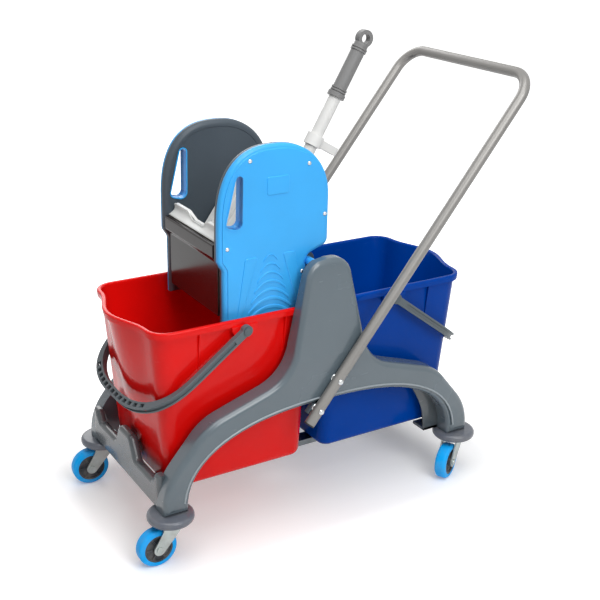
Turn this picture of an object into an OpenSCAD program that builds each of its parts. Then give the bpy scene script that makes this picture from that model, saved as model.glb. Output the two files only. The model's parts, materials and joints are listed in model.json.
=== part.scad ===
// Double mop bucket trolley: two buckets on a castered chassis, with a press wringer
// hung between the towers of the side panels and a bent tube as push handle.
// The red bucket and the wringer are at the -X end, the push handle leans to +X.
// Sizes are in millimetres. The origin is on the floor under the middle of the part.

/* [Buckets] */
// Length of a bucket over its rolled rim, without the pouring lip
bucket_l = 342; // [325:1:360]
// Width of a bucket over its rolled rim
bucket_w = 294; // [280:1:310]
// Height of a bucket
bucket_h = 329; // [310:1:345]
// Wall of a bucket
bucket_wall = 2.6; // [2:0.1:4]
// Corner radius of a bucket at its rim
bucket_r = 40; // [30:1:50]
// Corner radius of a bucket at its base, seen from above
base_r = 24; // [18:1:28]
// Radius between the walls and the base of a bucket
base_round = 16; // [8:0.5:17]
// How far the rolled rim stands out from the wall
rim_out = 7; // [5:0.5:9]
// Height of the rolled rim
rim_h = 13; // [10:0.5:16]
// Radius of the rolled rim's upper edges
roll_r = 3.5; // [2:0.5:3.5]
// How far the pouring lip stands out from the end wall
lip_out = 28; // [16:1:32]
// How much narrower each long wall is at the base than at the rim
side_draft = 15; // [10:0.5:20]
// How much the outer end wall leans in towards the base
end_draft = 27; // [24:0.5:32]
// How much the inner end wall leans in towards the base
mid_draft = 12; // [9:0.5:16]
// Gap between the two rims at the middle of the trolley
rim_gap = 7; // [5:0.5:12]
// Radius of the half round ear that carries the bail
ear_r = 26; // [20:1:32]
// Distance from the middle of the trolley to the bail pivots
ear_x = 166; // [155:1:175]
// Depth of the bail pivots below the rim
ear_drop = 20; // [17:0.5:26]
// Thickness of the stiffening fins under the rim
fin_t = 3; // [2:0.5:5]
// Height of the stiffening fins
fin_h = 72; // [40:1:100]
// Distance from the ear to the fins on each side
fin_pitch = 88; // [60:1:100]

/* [Bails] */
// Reach of a bail from its pivots to the outside of its grip
bail_reach = 252; // [248:1:270]
// Width of a bail's arm
bail_t = 9.5; // [8:0.5:11]
// Depth of a bail's section, square to its own plane
bail_d = 15; // [14:0.5:20]
// Thickness of the grip of a bail
bail_grip = 16; // [15:0.5:20]
// Depth of the groove round the outside of a bail
bail_groove = 3; // [1.5:0.5:4]
// Angle at which a bail hangs below level
bail_hang = 36.5; // [36:0.5:39]
// Pin diameter of a bail pivot
bail_pin_d = 10; // [8:0.5:12]
// Length of a bail's straight arms
bail_arm = 120; // [110:1:130]
// Number of windows in the grip of a bail
bail_windows = 13; // [5:2:13]
// Length of a window in the grip of a bail
window_l = 11; // [8:0.5:13]
// Distance between the windows in the grip of a bail
window_pitch = 17; // [15:0.5:18]

/* [Chassis] */
// Depth of a side panel, across the trolley
panel_t = 38; // [32:1:44]
// Wall left round the hollow back of a side panel
panel_wall = 6; // [4:0.5:9]
// Thickness of an end panel
end_t = 20; // [16:1:24]
// Gap between a bucket's base and the end panel
end_gap = 18; // [14:0.5:24]
// Height of the end panels above the bumpers, beside the middle
end_h = 51; // [40:1:60]
// Extra height of the raised middle of an end panel
end_rise = 42; // [25:1:46]
// Width of the raised middle of an end panel at its foot
end_rise_w = 96; // [70:1:120]
// Length of a foot under the arch of a side panel
foot_l = 50; // [44:1:60]
// Height of the arch of a side panel above the bumpers
arch_h = 155; // [130:1:160]
// Height of the upright front of a leg above the bumpers
leg_up = 55; // [45:1:65]
// Radius over the upright front of a leg
leg_r = 120; // [80:1:140]
// Height of a side panel's shoulder above the bumpers
shoulder_h = 162; // [156:1:190]
// How far a side panel's shoulder lies in from its end
shoulder_in = 90; // [60:1:100]
// Radius of a side panel's shoulder
shoulder_r = 110; // [80:1:120]
// Height of the foot of a tower above the bumpers
neck_h = 218; // [205:1:230]
// Spread of a tower's foot beyond its top, on each side
neck_out = 46; // [38:1:54]
// Radius at the foot of a tower
neck_r = 90; // [60:1:100]
// Width of the flat on top of a tower
tower_flat = 4; // [2:0.5:10]
// Width of a tower near its top
tower_w = 84; // [78:1:92]
// Height of a tower above the bumpers
tower_h = 434; // [425:1:450]
// Height above the feet at which a tower starts to lean in
lean_up = 238; // [225:1:260]
// How far a tower's outer face leans in at its top
tower_lean = 17; // [8:0.5:18]
// Width of a base rail
rail_w = 30; // [20:1:40]
// Height of a base rail
rail_h = 12; // [8:0.5:16]
// Distance between the base rails
rail_track = 120; // [90:1:150]
// Width of the beam between the buckets
beam_w = 20; // [12:0.5:22]
// Height of the beam between the buckets
beam_h = 70; // [50:1:90]
// Height of the beam's lower edge above the arches' tops
beam_up = 6; // [2:0.5:12]
// Diameter of the bar between the towers
crossbar_d = 20; // [16:0.5:22]
// Wall of the tubes and rails
tube_wall = 1.5; // [1:0.1:2.5]

/* [Casters] */
// Diameter of a caster wheel
wheel_d = 75; // [70:1:80]
// Width of a caster wheel
wheel_w = 24; // [20:0.5:26]
// Thickness of the tyre
tyre_t = 10; // [7:0.5:12]
// Axle diameter of a caster wheel
axle_d = 8; // [6:0.5:10]
// Distance from a caster's swivel axis to its wheel axle
trail = 30; // [26:0.5:32]
// Thickness of the fork's sheet
fork_t = 3; // [2.5:0.1:4]
// Diameter of the caster stem
stem_d = 12; // [10:0.5:14]
// Length of the stem inside the foot
stem_grip = 20; // [14:1:22]
// Diameter of the round bumper over a caster
bumper_d = 88; // [80:1:92]
// Height of the round bumper
bumper_h = 16; // [12:0.5:20]
// Diameter of the bearing ring under a bumper
race_d = 40; // [36:1:44]
// Height of the bearing ring
race_h = 4.7; // [4:0.1:6]
// Diameter of the fork's crown
crown_d = 44; // [40:1:48]
// Distance from a chassis corner's faces to the swivel axis
caster_inset = 20; // [18:0.5:22]

/* [Push handle] */
// Diameter of the push handle's tube
handle_d = 21; // [18:0.5:24]
// Height of the push handle's bar above the floor
handle_z = 841; // [800:1:890]
// Distance of the push handle's bar from the middle of the chassis
handle_x = 432; // [420:1:460]
// Height of the lower ends of the push handle
handle_low_z = 224; // [218:1:230]
// Distance of the lower ends of the push handle from the middle of the chassis
handle_low_x = 53; // [45:1:60]
// Bend radius of the push handle's corners
handle_bend = 52; // [40:1:80]
// Bolt diameter
bolt_d = 6; // [5:0.5:8]
// Depth of a bolt in a side panel
bolt_in = 11; // [9:0.5:14]
// Distance of the lower bolt from the end of the tube
bolt_low = 31; // [26:1:36]
// Distance between the two bolts of a leg
bolt_pitch = 67; // [55:1:80]

/* [Wringer] */
// Width of the wringer over its side covers, for buckets of the usual width
wringer_w = 250; // [240:1:251]
// Length of the wringer's upper part
wringer_l = 230; // [222:1:240]
// Height of the wringer
wringer_h = 335; // [325:1:345]
// Length of the wringer's lower part
skirt_l = 173.5; // [168:0.5:180]
// How far the upper part stands out in front of the lower part
front_step = 10.5; // [8:0.5:14]
// Height of the step in the wringer's front edge
step_rise = 122; // [116:1:128]
// Height of the curved part of the wringer's front edge
front_arch_h = 150; // [140:1:158]
// Height of the curved part of the wringer's rear edge
rear_arch_h = 110; // [100:1:118]
// Height of the ledge on the front wall above the wringer's lower edge
ledge_rise = 160; // [154:1:166]
// Depth of the ledge on the front wall
ledge_h = 25; // [20:0.5:28]
// Height of the rear wall
rear_wall_h = 78; // [70:1:84]
// Width of a drain slot
drain_w = 6; // [5:0.5:7]
// Distance between the drain slots
drain_pitch = 16; // [15:0.5:16.5]
// Thickness of a side cover
cover_t = 12; // [9:0.5:16]
// Wall of a side cover and of an inner plate
cover_wall = 3; // [2:0.5:4]
// Wall of the collar that lines a finger slot
collar_t = 2.5; // [2:0.1:3]
// Thickness of an inner plate
plate_t = 13; // [10:0.5:16]
// Diameter of the hanger pins
pin_d = 16; // [12:0.5:18]
// Distance of the hanger pins from the wringer's lower rear edge
pin_out = 6.5; // [5.5:0.5:10]
// Height of the hanger pins above the wringer's lower edge
pin_rise = 105; // [102:1:110]
// Distance of the hanger pins from the towers' middle
pin_x = 15.5; // [13:0.5:18]
// Depth of the hanger pins below the towers' tops
pin_drop = 16; // [14:1:20]
// Depth of the sockets in the towers
socket_depth = 14; // [10:0.5:20]
// Thickness of the front and rear walls
wall_t = 5; // [4:0.5:7]
// Thickness of the drain floor
floor_t = 5; // [4:0.5:6]
// Number of drain slots
drain_slots = 9; // [5:2:11]
// Height of the relief on the side covers
relief = 1.6; // [1:0.2:2.4]
// Number of curved ribs on a side cover
cover_ribs = 8; // [5:1:8]
// Distance between the curved ribs
rib_pitch = 16.5; // [14:0.5:17]
// Diameter of a cover screw's head
screw_d = 8; // [6:0.5:9]

/* [Press] */
// Diameter of the press shaft
shaft_d = 16; // [12:0.5:18]
// Distance of the press shaft from the wringer's lower rear edge
shaft_in = 26; // [23:0.5:28]
// Lean of the lever behind the vertical
lever_lean = 30; // [26:1:33]
// Diameter of the lever's tube
lever_d = 25; // [22:0.5:28]
// Length of the lever from the shaft to the end of its grip
lever_l = 456; // [430:1:480]
// Wall of the lever's hub round the shaft
hub_wall = 10; // [8:0.5:11]
// Length of the lever's hub along the shaft
hub_l = 88; // [80:1:100]
// Length of the lever's socket from the shaft
socket_l = 75; // [65:1:90]
// Angle between the lever and the arms of the moving jaw
jaw_spread = 174.5; // [172:0.5:176]
// Length of the grip
grip_l = 140; // [120:1:150]
// Thickness of the grip
grip_d = 33; // [31:0.5:36]
// Diameter of the hanging hole in the grip
hang_d = 18; // [12:0.5:19]
// Distance of the moving jaw's face from the shaft
jaw_out = 77.5; // [74:0.5:80]
// Reach of the moving jaw below its arms
jaw_low = 30; // [24:1:32]
// Reach of the moving jaw above its arms
jaw_high = 88; // [80:1:94]
// Thickness of the moving jaw
jaw_t = 8; // [6:0.5:10]
// Distance of the front jaw's foot from the wringer's lower front edge
jaw_foot_in = 55.5; // [52:0.5:58]
// Height of the front jaw's foot above the wringer's lower edge
jaw_foot_up = 55; // [52:0.5:58]
// Distance of the front jaw's tip from the wringer's lower front edge
jaw_tip_in = 16.5; // [14:0.5:20]
// Height of the front jaw's tip above the wringer's lower edge
jaw_tip_up = 184; // [178:1:188]
// Thickness of the fixed front jaw
front_jaw_t = 6; // [5:0.5:8]
// Height of the clip above the shaft, along the lever
clip_up = 214; // [195:1:240]
// Reach of the clip's arm
clip_reach = 50; // [40:1:56]

/* [Clearances] */
// Radial clearance of a pin or shaft in its hole
fit = 0.05; // [0.02:0.01:0.1]
// Clearance between faces that move past each other
run_gap = 0.3; // [0.2:0.1:0.5]
// Clearance between the push handle's tube and a side panel
tube_gap = 0.2; // [0.1:0.1:0.5]
// Clearance between a wheel and its fork
wheel_gap = 2; // [1.5:0.5:3]
// Clearance between a wheel and the fork's crown
crown_gap = 3; // [2:0.5:4]
// Clearance between a bucket's rim and a side panel
panel_gap = 0.5; // [0.4:0.1:2]

/* [Hidden] */
$fn = 64;

// Heights, from the floor up
wheel_r = wheel_d / 2;
crown_z = wheel_d + crown_gap;
race_z = crown_z + fork_t + run_gap;
bumper_z = race_z + race_h;
foot_z = bumper_z + bumper_h;
base_z = foot_z + rail_h;
rim_z = base_z + bucket_h;
tower_z = foot_z + tower_h;
pin_z = tower_z - pin_drop;
pin_head = 3;

// Ears and bails
ear_y = bucket_w / 2 + 2;
ear_z = rim_z - ear_drop;
bail_in_y = ear_y + run_gap;
bail_out_y = bail_in_y + bail_t;
bail_power = 0.77;
pin_depth = 9;

// Plan of the chassis, measured from its own middle
rim_in_x = rim_gap / 2;
rim_out_x = rim_in_x + bucket_l;
end_in_x = rim_out_x - rim_out - end_draft + end_gap;
end_x = end_in_x + end_t;
panel_y = bucket_w / 2 + panel_gap;
panel_out_y = panel_y + panel_t;
caster_x = end_x - caster_inset;
caster_y = panel_out_y - caster_inset;
leg_y = panel_out_y + tube_gap + handle_d / 2;
leg_run = handle_x + handle_low_x;
leg_rise = handle_z - handle_low_z;
leg_angle = atan2(leg_rise, leg_run);
leg_l = norm([leg_run, leg_rise]);

// The chassis is set so that the whole part is centred on the origin
shift_x = (caster_x + trail + wheel_r - handle_x - handle_d / 2) / 2;

// Rest directions of the trailing wheels, counted from +X
swivel = [180, 176, 209, 186];
caster_at = [[-1, -1], [-1, 1], [1, -1], [1, 1]];

// Wringer, placed by its hanger pins
wring_rear = -pin_x - pin_out;
wring_front = wring_rear - skirt_l;
upper_front = wring_front - front_step;
upper_rear = upper_front + wringer_l;
upper_mid = (upper_front + upper_rear) / 2;
wring_z = pin_z - pin_rise;
wring_top = wring_z + wringer_h;
step_z = wring_z + step_rise;
front_arch_z = wring_top - front_arch_h;
rear_arch_z = wring_top - rear_arch_h;
// The wringer hangs inside the bucket, so its width follows the bucket's and keeps this room to the side
usual_bucket_w = 294;
cover_room = (usual_bucket_w - wringer_w) / 2;
cover_y = bucket_w / 2 - cover_room;
plate_out_y = cover_y - cover_t;
mouth_y = plate_out_y - plate_t;
ledge_z = wring_z + ledge_rise;
jaw_foot = [wring_front + jaw_foot_in, wring_z + jaw_foot_up];
jaw_tip = [wring_front + jaw_tip_in, wring_z + jaw_tip_up];
floor_z = jaw_foot[1] - 2;
rear_wall_x = wring_rear - 3 - wall_t;
shaft_x = wring_rear - shaft_in;
shaft_z = pin_z;
hub_r = shaft_d / 2 + hub_wall;
screw_l = cover_t + plate_t - cover_wall;
jaw_angle = jaw_spread - lever_lean;
grip_end = lever_l - grip_d / 2;
tube_start = hub_r + 4;
tube_end = grip_end - hang_d / 2 - 10;

// The bar between the towers lies half way between the buckets' rims and the hanger pins
crossbar_x = wring_rear + run_gap + crossbar_d / 2;
crossbar_z = (rim_z + pin_z - pin_d / 2 - pin_head) / 2;

// Screws and the finger slot's rounds, from the wringer's middle and its lower edge
screw_at = [[-53, 310], [68, 293], [104, 194], [58, 90], [-98, 156]];
slot_at = [[-74, 279, 7], [-79, 201, 11], [-91, 202, 9]];

grey_plastic = "#6f7b82";
dark_plastic = "#454e57";
cover_blue = "#3fb2fa";
bright_metal = "#b8bcbc";

// General helpers

function unit(v) = v / norm(v);

// One corner of an outline, replaced by an arc of radius r
function corner_arc(before, at, after, r, steps) =
    let (a = unit(before - at))
    let (b = unit(after - at))
    let (half = acos(a * b) / 2)
    let (c = at + unit(a + b) * r / sin(half))
    let (p = at + a * r / tan(half) - c)
    let (q = at + b * r / tan(half) - c)
    let (start = atan2(p[1], p[0]))
    let (turn = atan2(p[0] * q[1] - p[1] * q[0], p * q))
    [for (i = [0:steps]) c + r * [cos(start + turn * i / steps), sin(start + turn * i / steps)]];

// An outline given as [x, y, corner radius]
function rounded(pts, steps = 8) =
    let (n = len(pts))
    let (flat = [for (p = pts) [p[0], p[1]]])
    [for (i = [0:n - 1])
        each pts[i][2] == 0 ? [flat[i]]
            : corner_arc(flat[(i + n - 1) % n], flat[i], flat[(i + 1) % n], pts[i][2], steps)];

// Profile of a domed head, from its top to its edge
function dome(r, h) = [for (a = [0:22.5:90]) [r * sin(a), h * cos(a)]];

// An arc of an ellipse, with fuller shoulders the smaller its power
function full_arc(c, a, b, power, from, to, steps) =
    [for (i = [0:steps]) let (t = from + (to - from) * i / steps)
        c + [a * sign(cos(t)) * pow(abs(cos(t)), power), b * pow(sin(t), power)]];

// Everything is drawn from the middle of the chassis and moved to the origin here
module placed() {
    translate([shift_x, 0, 0]) children();
}

module both_sides() {
    children();
    mirror([0, 1, 0]) children();
}

// An outline in X and Z, from y to y + depth
module side_slab(y, depth) {
    translate([0, y + depth, 0]) rotate([90, 0, 0]) linear_extrude(depth) children();
}

// An outline in Y and Z, from x to x + depth
module end_slab(x, depth) {
    translate([x, 0, 0]) rotate([90, 0, 90]) linear_extrude(depth) children();
}

// A cylinder along Y
module cross_pin(x, y, z, r, l) {
    translate([x, y, z]) rotate([-90, 0, 0]) cylinder(h = l, r = r);
}

// Side panels

module panel_outline() {
    arch_a = end_x - foot_l;
    arch_power = 0.83;
    left = [
        [-end_x, foot_z, 0],
        [-end_x, foot_z + leg_up, leg_r],
        [-end_x + shoulder_in, foot_z + shoulder_h, shoulder_r],
        [-tower_w / 2 - neck_out, foot_z + neck_h, neck_r],
        [-tower_w / 2, tower_z, (tower_w - tower_flat) / 2]
    ];
    right = [for (i = [4:-1:0]) [-left[i][0], left[i][1], left[i][2]]];
    arch = [for (t = [0:5:180]) [
        arch_a * sign(cos(t)) * pow(abs(cos(t)), arch_power),
        foot_z + arch_h * pow(sin(t), arch_power)
    ]];
    polygon(concat(rounded(concat(left, right), 12), arch));
}

// The leg of the push handle, along its own axis from its lower end
module along_leg() {
    translate([-handle_low_x, 0, handle_low_z]) rotate([0, -leg_angle, 0]) children();
}

module panel_hollow() {
    bay_pitch = 34;
    first_bay = 150;
    bay_low = 96;
    bay_w = bay_pitch - 5;
    intersection() {
        side_slab(panel_y - 1, panel_t - panel_wall + 1) offset(delta = -panel_wall) panel_outline();
        for (s = [-1, 1], i = [0:3])
            translate([s * (first_bay + bay_pitch * i) - bay_w / 2, panel_y - 1, foot_z + bay_low])
                cube([bay_w, panel_t, tower_z]);
    }
}

// A side panel's slab, cut so that its tower's outer face leans in
module leaning() {
    over = 5;
    slope = tower_lean / (tower_z - foot_z - lean_up);
    difference() {
        children();
        rotate([90, 0, 90]) linear_extrude(2 * tower_w, center = true) polygon([
            [panel_out_y, foot_z + lean_up],
            [panel_out_y + over, foot_z + lean_up],
            [panel_out_y + over, tower_z + over],
            [panel_out_y - tower_lean - over * slope, tower_z + over]
        ]);
    }
}

module side_panel() {
    lug_w = handle_d - 3;
    lug_from = 14;
    lug_l = 70;
    lug_t = 12;
    lug_in = 0.5;
    difference() {
        union() {
            leaning() side_slab(panel_y, panel_t) panel_outline();
            along_leg() translate([lug_from, panel_out_y - lug_in - lug_t, -lug_w / 2])
                cube([lug_l, lug_t, lug_w]);
        }
        panel_hollow();
        cross_pin(-pin_x, panel_y - 1, pin_z, pin_d / 2 + fit, socket_depth + 1);
        translate([-pin_x - pin_d / 2 - fit, panel_y - 1, pin_z])
            cube([pin_d + 2 * fit, socket_depth + 1, tower_z]);
        cross_pin(crossbar_x, panel_y - 1, crossbar_z, crossbar_d / 2 + fit, socket_depth + 1);
        for (s = [-1, 1])
            translate([s * caster_x, caster_y, foot_z - 1])
                cylinder(h = stem_grip + 1 + run_gap, r = stem_d / 2 + fit);
        along_leg() for (i = [0, 1]) let (x = bolt_low + bolt_pitch * i)
            cross_pin(x, panel_out_y - bolt_in - run_gap, 0, bolt_d / 2 + fit, panel_t);
    }
}

module left_side_panel() color(grey_plastic) placed() mirror([0, 1, 0]) side_panel();
module right_side_panel() color(grey_plastic) placed() side_panel();

// End panels, rails and beams

module end_panel_outline(lug_h) {
    top = foot_z + end_h;
    foot = end_rise_w / 2;
    lug_flat = 7;
    run = 22;
    left = [
        [-panel_y, foot_z, 0],
        [-panel_y, top + lug_h, 0],
        [-panel_y + lug_flat, top + lug_h, 6],
        [-panel_y + run, top, 8],
        [-foot, top, 10],
        [-foot + run, top + end_rise, 14]
    ];
    polygon(rounded(concat(left, [for (i = [5:-1:0]) [-left[i][0], left[i][1], left[i][2]]]), 6));
}

module end_panel(lug_h) end_slab(-end_x, end_t) end_panel_outline(lug_h);
module front_end_panel() color(grey_plastic) placed() end_panel(22);
module rear_end_panel() color(grey_plastic) placed() mirror([1, 0, 0]) end_panel(3);

module centre_beam() color(grey_plastic) placed() difference() {
    beam_z = foot_z + arch_h + beam_up;
    bay = 2 * (panel_y - panel_wall) / 5;
    translate([-beam_w / 2, -panel_y, beam_z]) cube([beam_w, 2 * panel_y, beam_h]);
    for (i = [-2:2])
        translate([-beam_w / 2 - 1, bay * i - (bay - panel_wall) / 2, beam_z + panel_wall])
            cube([beam_w - panel_wall + 1, bay - panel_wall, beam_h - 2 * panel_wall]);
}

module base_rails() color(bright_metal) placed() both_sides() difference() {
    translate([-end_in_x, rail_track / 2 - rail_w / 2, foot_z]) cube([2 * end_in_x, rail_w, rail_h]);
    translate([-end_in_x - 1, rail_track / 2 - rail_w / 2 + tube_wall, foot_z + tube_wall])
        cube([2 * end_in_x + 2, rail_w - 2 * tube_wall, rail_h - 2 * tube_wall]);
}

module tower_crossbar() color(bright_metal) placed() difference() {
    cross_pin(crossbar_x, -panel_y - socket_depth, crossbar_z, crossbar_d / 2,
        2 * (panel_y + socket_depth));
    cross_pin(crossbar_x, -panel_y - socket_depth - 1, crossbar_z, crossbar_d / 2 - tube_wall,
        2 * (panel_y + socket_depth + 1));
}

// Push handle

module handle_path(r, extra) {
    bar = leg_y - handle_bend;
    both_sides() {
        translate([-extra, leg_y, 0]) rotate([0, 90, 0]) cylinder(h = leg_l - handle_bend + extra, r = r);
        translate([leg_l - handle_bend, bar, 0])
            rotate_extrude(angle = 90) translate([handle_bend, 0]) circle(r);
    }
    cross_pin(leg_l, -bar, 0, r, 2 * bar);
}

module push_handle() color("#a5a3a0") placed() along_leg() difference() {
    handle_path(handle_d / 2, 0);
    handle_path(handle_d / 2 - tube_wall, 1);
    for (i = [0, 1], s = [-1, 1])
        cross_pin(bolt_low + bolt_pitch * i, s * leg_y - handle_d, 0, bolt_d / 2 + fit, 2 * handle_d);
}

module handle_plugs() color("#33373a") placed() along_leg() both_sides() translate([0, leg_y, 0])
    rotate([0, 90, 0]) {
        cap_t = 3;
        cylinder(h = bolt_low - bolt_d, r = handle_d / 2 - tube_wall - fit);
        translate([0, 0, -cap_t]) cylinder(h = cap_t, r = handle_d / 2);
    }

module handle_bolts() color(bright_metal) placed() along_leg() both_sides() for (i = [0, 1])
    translate([bolt_low + bolt_pitch * i, leg_y + handle_d / 2, 0]) rotate([-90, 0, 0]) {
        head_h = 3.4;
        r = bolt_d / 2;
        tip = -handle_d - tube_gap - bolt_in;
        rotate_extrude() polygon(concat(dome(bolt_d, head_h), [[r, 0], [r, tip], [0, tip]]));
    }

// Casters

module at_caster(i) {
    translate([caster_at[i][0] * caster_x, caster_at[i][1] * caster_y, 0]) children();
}

module caster_bumpers() color("#7e7d88") placed() for (i = [0:3]) at_caster(i) {
    round_r = min(7, bumper_h / 2 - 0.5);
    edge = rounded([
        [stem_d / 2 + fit, bumper_z, 0],
        [bumper_d / 2, bumper_z, round_r],
        [bumper_d / 2, foot_z, round_r],
        [stem_d / 2 + fit, foot_z, 0]
    ], 6);
    rotate_extrude() polygon(edge);
}

module caster_stems() color(bright_metal) placed() for (i = [0:3]) at_caster(i) {
    head_h = crown_gap + 0.6;
    head_z = crown_z - run_gap - head_h;
    translate([0, 0, head_z]) cylinder(h = head_h, r = stem_d / 2 + 4);
    translate([0, 0, head_z]) cylinder(h = foot_z + stem_grip - head_z, r = stem_d / 2);
}

module caster_races() color("#8b9296") placed() for (i = [0:3]) at_caster(i)
    translate([0, 0, race_z]) difference() {
        cylinder(h = race_h, r = race_d / 2);
        translate([0, 0, -1]) cylinder(h = race_h + 2, r = stem_d / 2 + fit);
    }

// The caster's own frame: +X along the trail, turned to its rest direction
module trailing(i) {
    placed() at_caster(i) rotate([0, 0, swivel[i]]) children();
}

module fork(i) color("#9da6a2") trailing(i) difference() {
    cheek_y = wheel_w / 2 + wheel_gap;
    eye_r = 11;
    cheek_from = -13;
    cheek_l = 30;
    cheek_drop = 8;
    union() {
        translate([0, 0, crown_z]) cylinder(h = fork_t, r = crown_d / 2);
        both_sides() side_slab(cheek_y, fork_t) hull() {
            translate([trail, wheel_r]) circle(eye_r, $fn = 32);
            translate([cheek_from, crown_z - cheek_drop]) square([cheek_l, cheek_drop + fork_t]);
        }
    }
    translate([0, 0, crown_z - 1]) cylinder(h = fork_t + 2, r = stem_d / 2 + fit);
    cross_pin(trail, -wheel_w, wheel_r, axle_d / 2 + fit, 2 * wheel_w);
}

module axle(i) color(bright_metal) trailing(i) translate([trail, 0, wheel_r]) {
    end_y = wheel_w / 2 + wheel_gap + fork_t;
    head_t = 2.5;
    cross_pin(0, -end_y - head_t, 0, axle_d / 2, 2 * (end_y + head_t));
    both_sides() cross_pin(0, end_y, 0, axle_d / 2 + head_t, head_t);
}

module hub(i) color("#3c4046") trailing(i) translate([trail, 0, wheel_r]) rotate([-90, 0, 0]) {
    rim_r = wheel_r - tyre_t;
    half = wheel_w / 2;
    boss_r = axle_d / 2 + 6;
    boss = half + 0.6 * wheel_gap;
    web = half - 4;
    lip = half - 0.5;
    profile = [
        [axle_d / 2 + fit, boss], [boss_r, boss], [boss_r + 1, web],
        [rim_r - 4, web], [rim_r - 3, lip], [rim_r, lip]
    ];
    rotate_extrude() polygon(concat(profile, [for (k = [5:-1:0]) [profile[k][0], -profile[k][1]]]));
}

module tyre(i) color("#1ea4f4") trailing(i) translate([trail, 0, wheel_r]) rotate([-90, 0, 0]) {
    inner = wheel_r - tyre_t + fit;
    half = wheel_w / 2;
    shoulder = 6;
    rotate_extrude() polygon(rounded([
        [inner, -half, 0], [wheel_r, -half, shoulder], [wheel_r, half, shoulder], [inner, half, 0]
    ], 6));
}

module fork_front_left() fork(0);
module fork_front_right() fork(1);
module fork_rear_left() fork(2);
module fork_rear_right() fork(3);
module axle_front_left() axle(0);
module axle_front_right() axle(1);
module axle_rear_left() axle(2);
module axle_rear_right() axle(3);
module hub_front_left() hub(0);
module hub_front_right() hub(1);
module hub_rear_left() hub(2);
module hub_rear_right() hub(3);
module tyre_front_left() tyre(0);
module tyre_front_right() tyre(1);
module tyre_rear_left() tyre(2);
module tyre_rear_right() tyre(3);

// Buckets, drawn at the -X end

// Half of a bucket's plan, from the inner end to the pouring lip.
// t runs from 0 at the base to 1 at the rim, inset is measured inwards from the wall.
function bucket_half(t, inset) =
    let (w = bucket_w / 2 - rim_out - side_draft * (1 - t) - inset)
    let (rear = -rim_in_x - rim_out - mid_draft * (1 - t) - inset)
    let (front = -rim_out_x + rim_out + end_draft * (1 - t) + inset)
    let (r = base_r + (bucket_r - rim_out - base_r) * t - inset)
    let (lip = lip_out * t)
    let (flat = w - r)
    concat(
        [for (a = [0:15:90]) [rear - r + r * cos(a), flat + r * sin(a)]],
        [for (a = [90:15:180]) [front + r + r * cos(a), flat + r * sin(a)]],
        [for (k = [1:8]) let (y = flat * (1 - k / 8)) [front - lip * (1 + cos(180 * y / flat)) / 2, y]]
    );

function bucket_ring(z, inset) =
    let (half = bucket_half((z - base_z) / bucket_h, inset))
    let (n = len(half))
    concat(
        [for (p = half) [p[0], p[1], z]],
        [for (i = [n - 2:-1:0]) [half[i][0], -half[i][1], z]]
    );

module bucket_shell() {
    in_round = base_round - bucket_wall;
    floor_z = base_z + bucket_wall;
    levels = concat(
        [for (a = [0:18:90]) [base_z + base_round * (1 - cos(a)), base_round * (1 - sin(a))]],
        [[rim_z - rim_h, 0], [rim_z - rim_h, -rim_out]],
        [for (a = [0:30:90]) [rim_z - roll_r * (1 - sin(a)), -rim_out + roll_r * (1 - cos(a))]],
        [for (a = [90:-30:0]) [rim_z - roll_r * (1 - sin(a)), bucket_wall - roll_r * (1 - cos(a))]],
        [for (a = [90:-18:0]) [floor_z + in_round * (1 - cos(a)), bucket_wall + in_round * (1 - sin(a))]]
    );
    rings = [for (l = levels) bucket_ring(l[0], l[1])];
    n = len(rings[0]);
    m = len(rings);
    points = [for (r = rings) each r];
    strips = [for (j = [0:m - 2], i = [0:n - 1]) let (k = (i + 1) % n)
        each [[j * n + i, (j + 1) * n + i, j * n + k], [j * n + k, (j + 1) * n + i, (j + 1) * n + k]]];
    base = [for (i = [0:n - 1]) i];
    inner_base = [for (i = [n - 1:-1:0]) (m - 1) * n + i];
    polyhedron(points, concat(strips, [base, inner_base]));
}

// Distance from the middle to a bucket's long wall, outside, at height z
function wall_y(z) = bucket_w / 2 - rim_out - side_draft * (1 - (z - base_z) / bucket_h);
module bucket_ears() both_sides() {
    ear_low = rim_z - rim_h;
    fin_low = ear_low - fin_h;
    sunk = bucket_wall / 2;
    root = wall_y(ear_z - ear_r) - sunk;
    intersection() {
        cross_pin(-ear_x, root, ear_low, ear_r, ear_y - root);
        translate([-ear_x - ear_r, root, ear_low - ear_r]) cube([2 * ear_r, ear_y, ear_r + sunk]);
    }
    for (s = [-1, 1])
        end_slab(-ear_x + s * fin_pitch - fin_t / 2, fin_t) polygon([
            [wall_y(fin_low) - sunk, fin_low],
            [wall_y(ear_low) - sunk, ear_low + sunk],
            [bucket_w / 2 - 1, ear_low + sunk],
            [wall_y(fin_low) + sunk, fin_low]
        ]);
}

module bucket() difference() {
    union() {
        bucket_shell();
        bucket_ears();
    }
    both_sides() cross_pin(-ear_x, ear_y - pin_depth, ear_z, bail_pin_d / 2 + fit, 2 * pin_depth);
}

module red_bucket() color("#d81e1e") placed() bucket();
module blue_bucket() color("#0b3fa8") placed() mirror([1, 0, 0]) bucket();

module bail_pins_at() both_sides() {
    root = ear_y - pin_depth + run_gap;
    head_y = bail_out_y + run_gap;
    cross_pin(-ear_x, root, ear_z, bail_pin_d / 2, head_y - root);
    cross_pin(-ear_x, head_y, ear_z, bail_pin_d / 2 + 3, 2.5);
}

module red_bail_pins() color(dark_plastic) placed() bail_pins_at();
module blue_bail_pins() color(dark_plastic) placed() mirror([1, 0, 0]) bail_pins_at();

// A bail lies flat here, with its pivots on the Y axis and its grip towards -X
function bail_curve(half_w, reach) =
    let (bend = reach - bail_arm)
    [for (i = [0:32]) let (t = 180 * i / 32 - 90) [
        -bail_arm - bend * pow(cos(t), bail_power),
        half_w * sign(sin(t)) * pow(abs(sin(t)), bail_power)
    ]];

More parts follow.
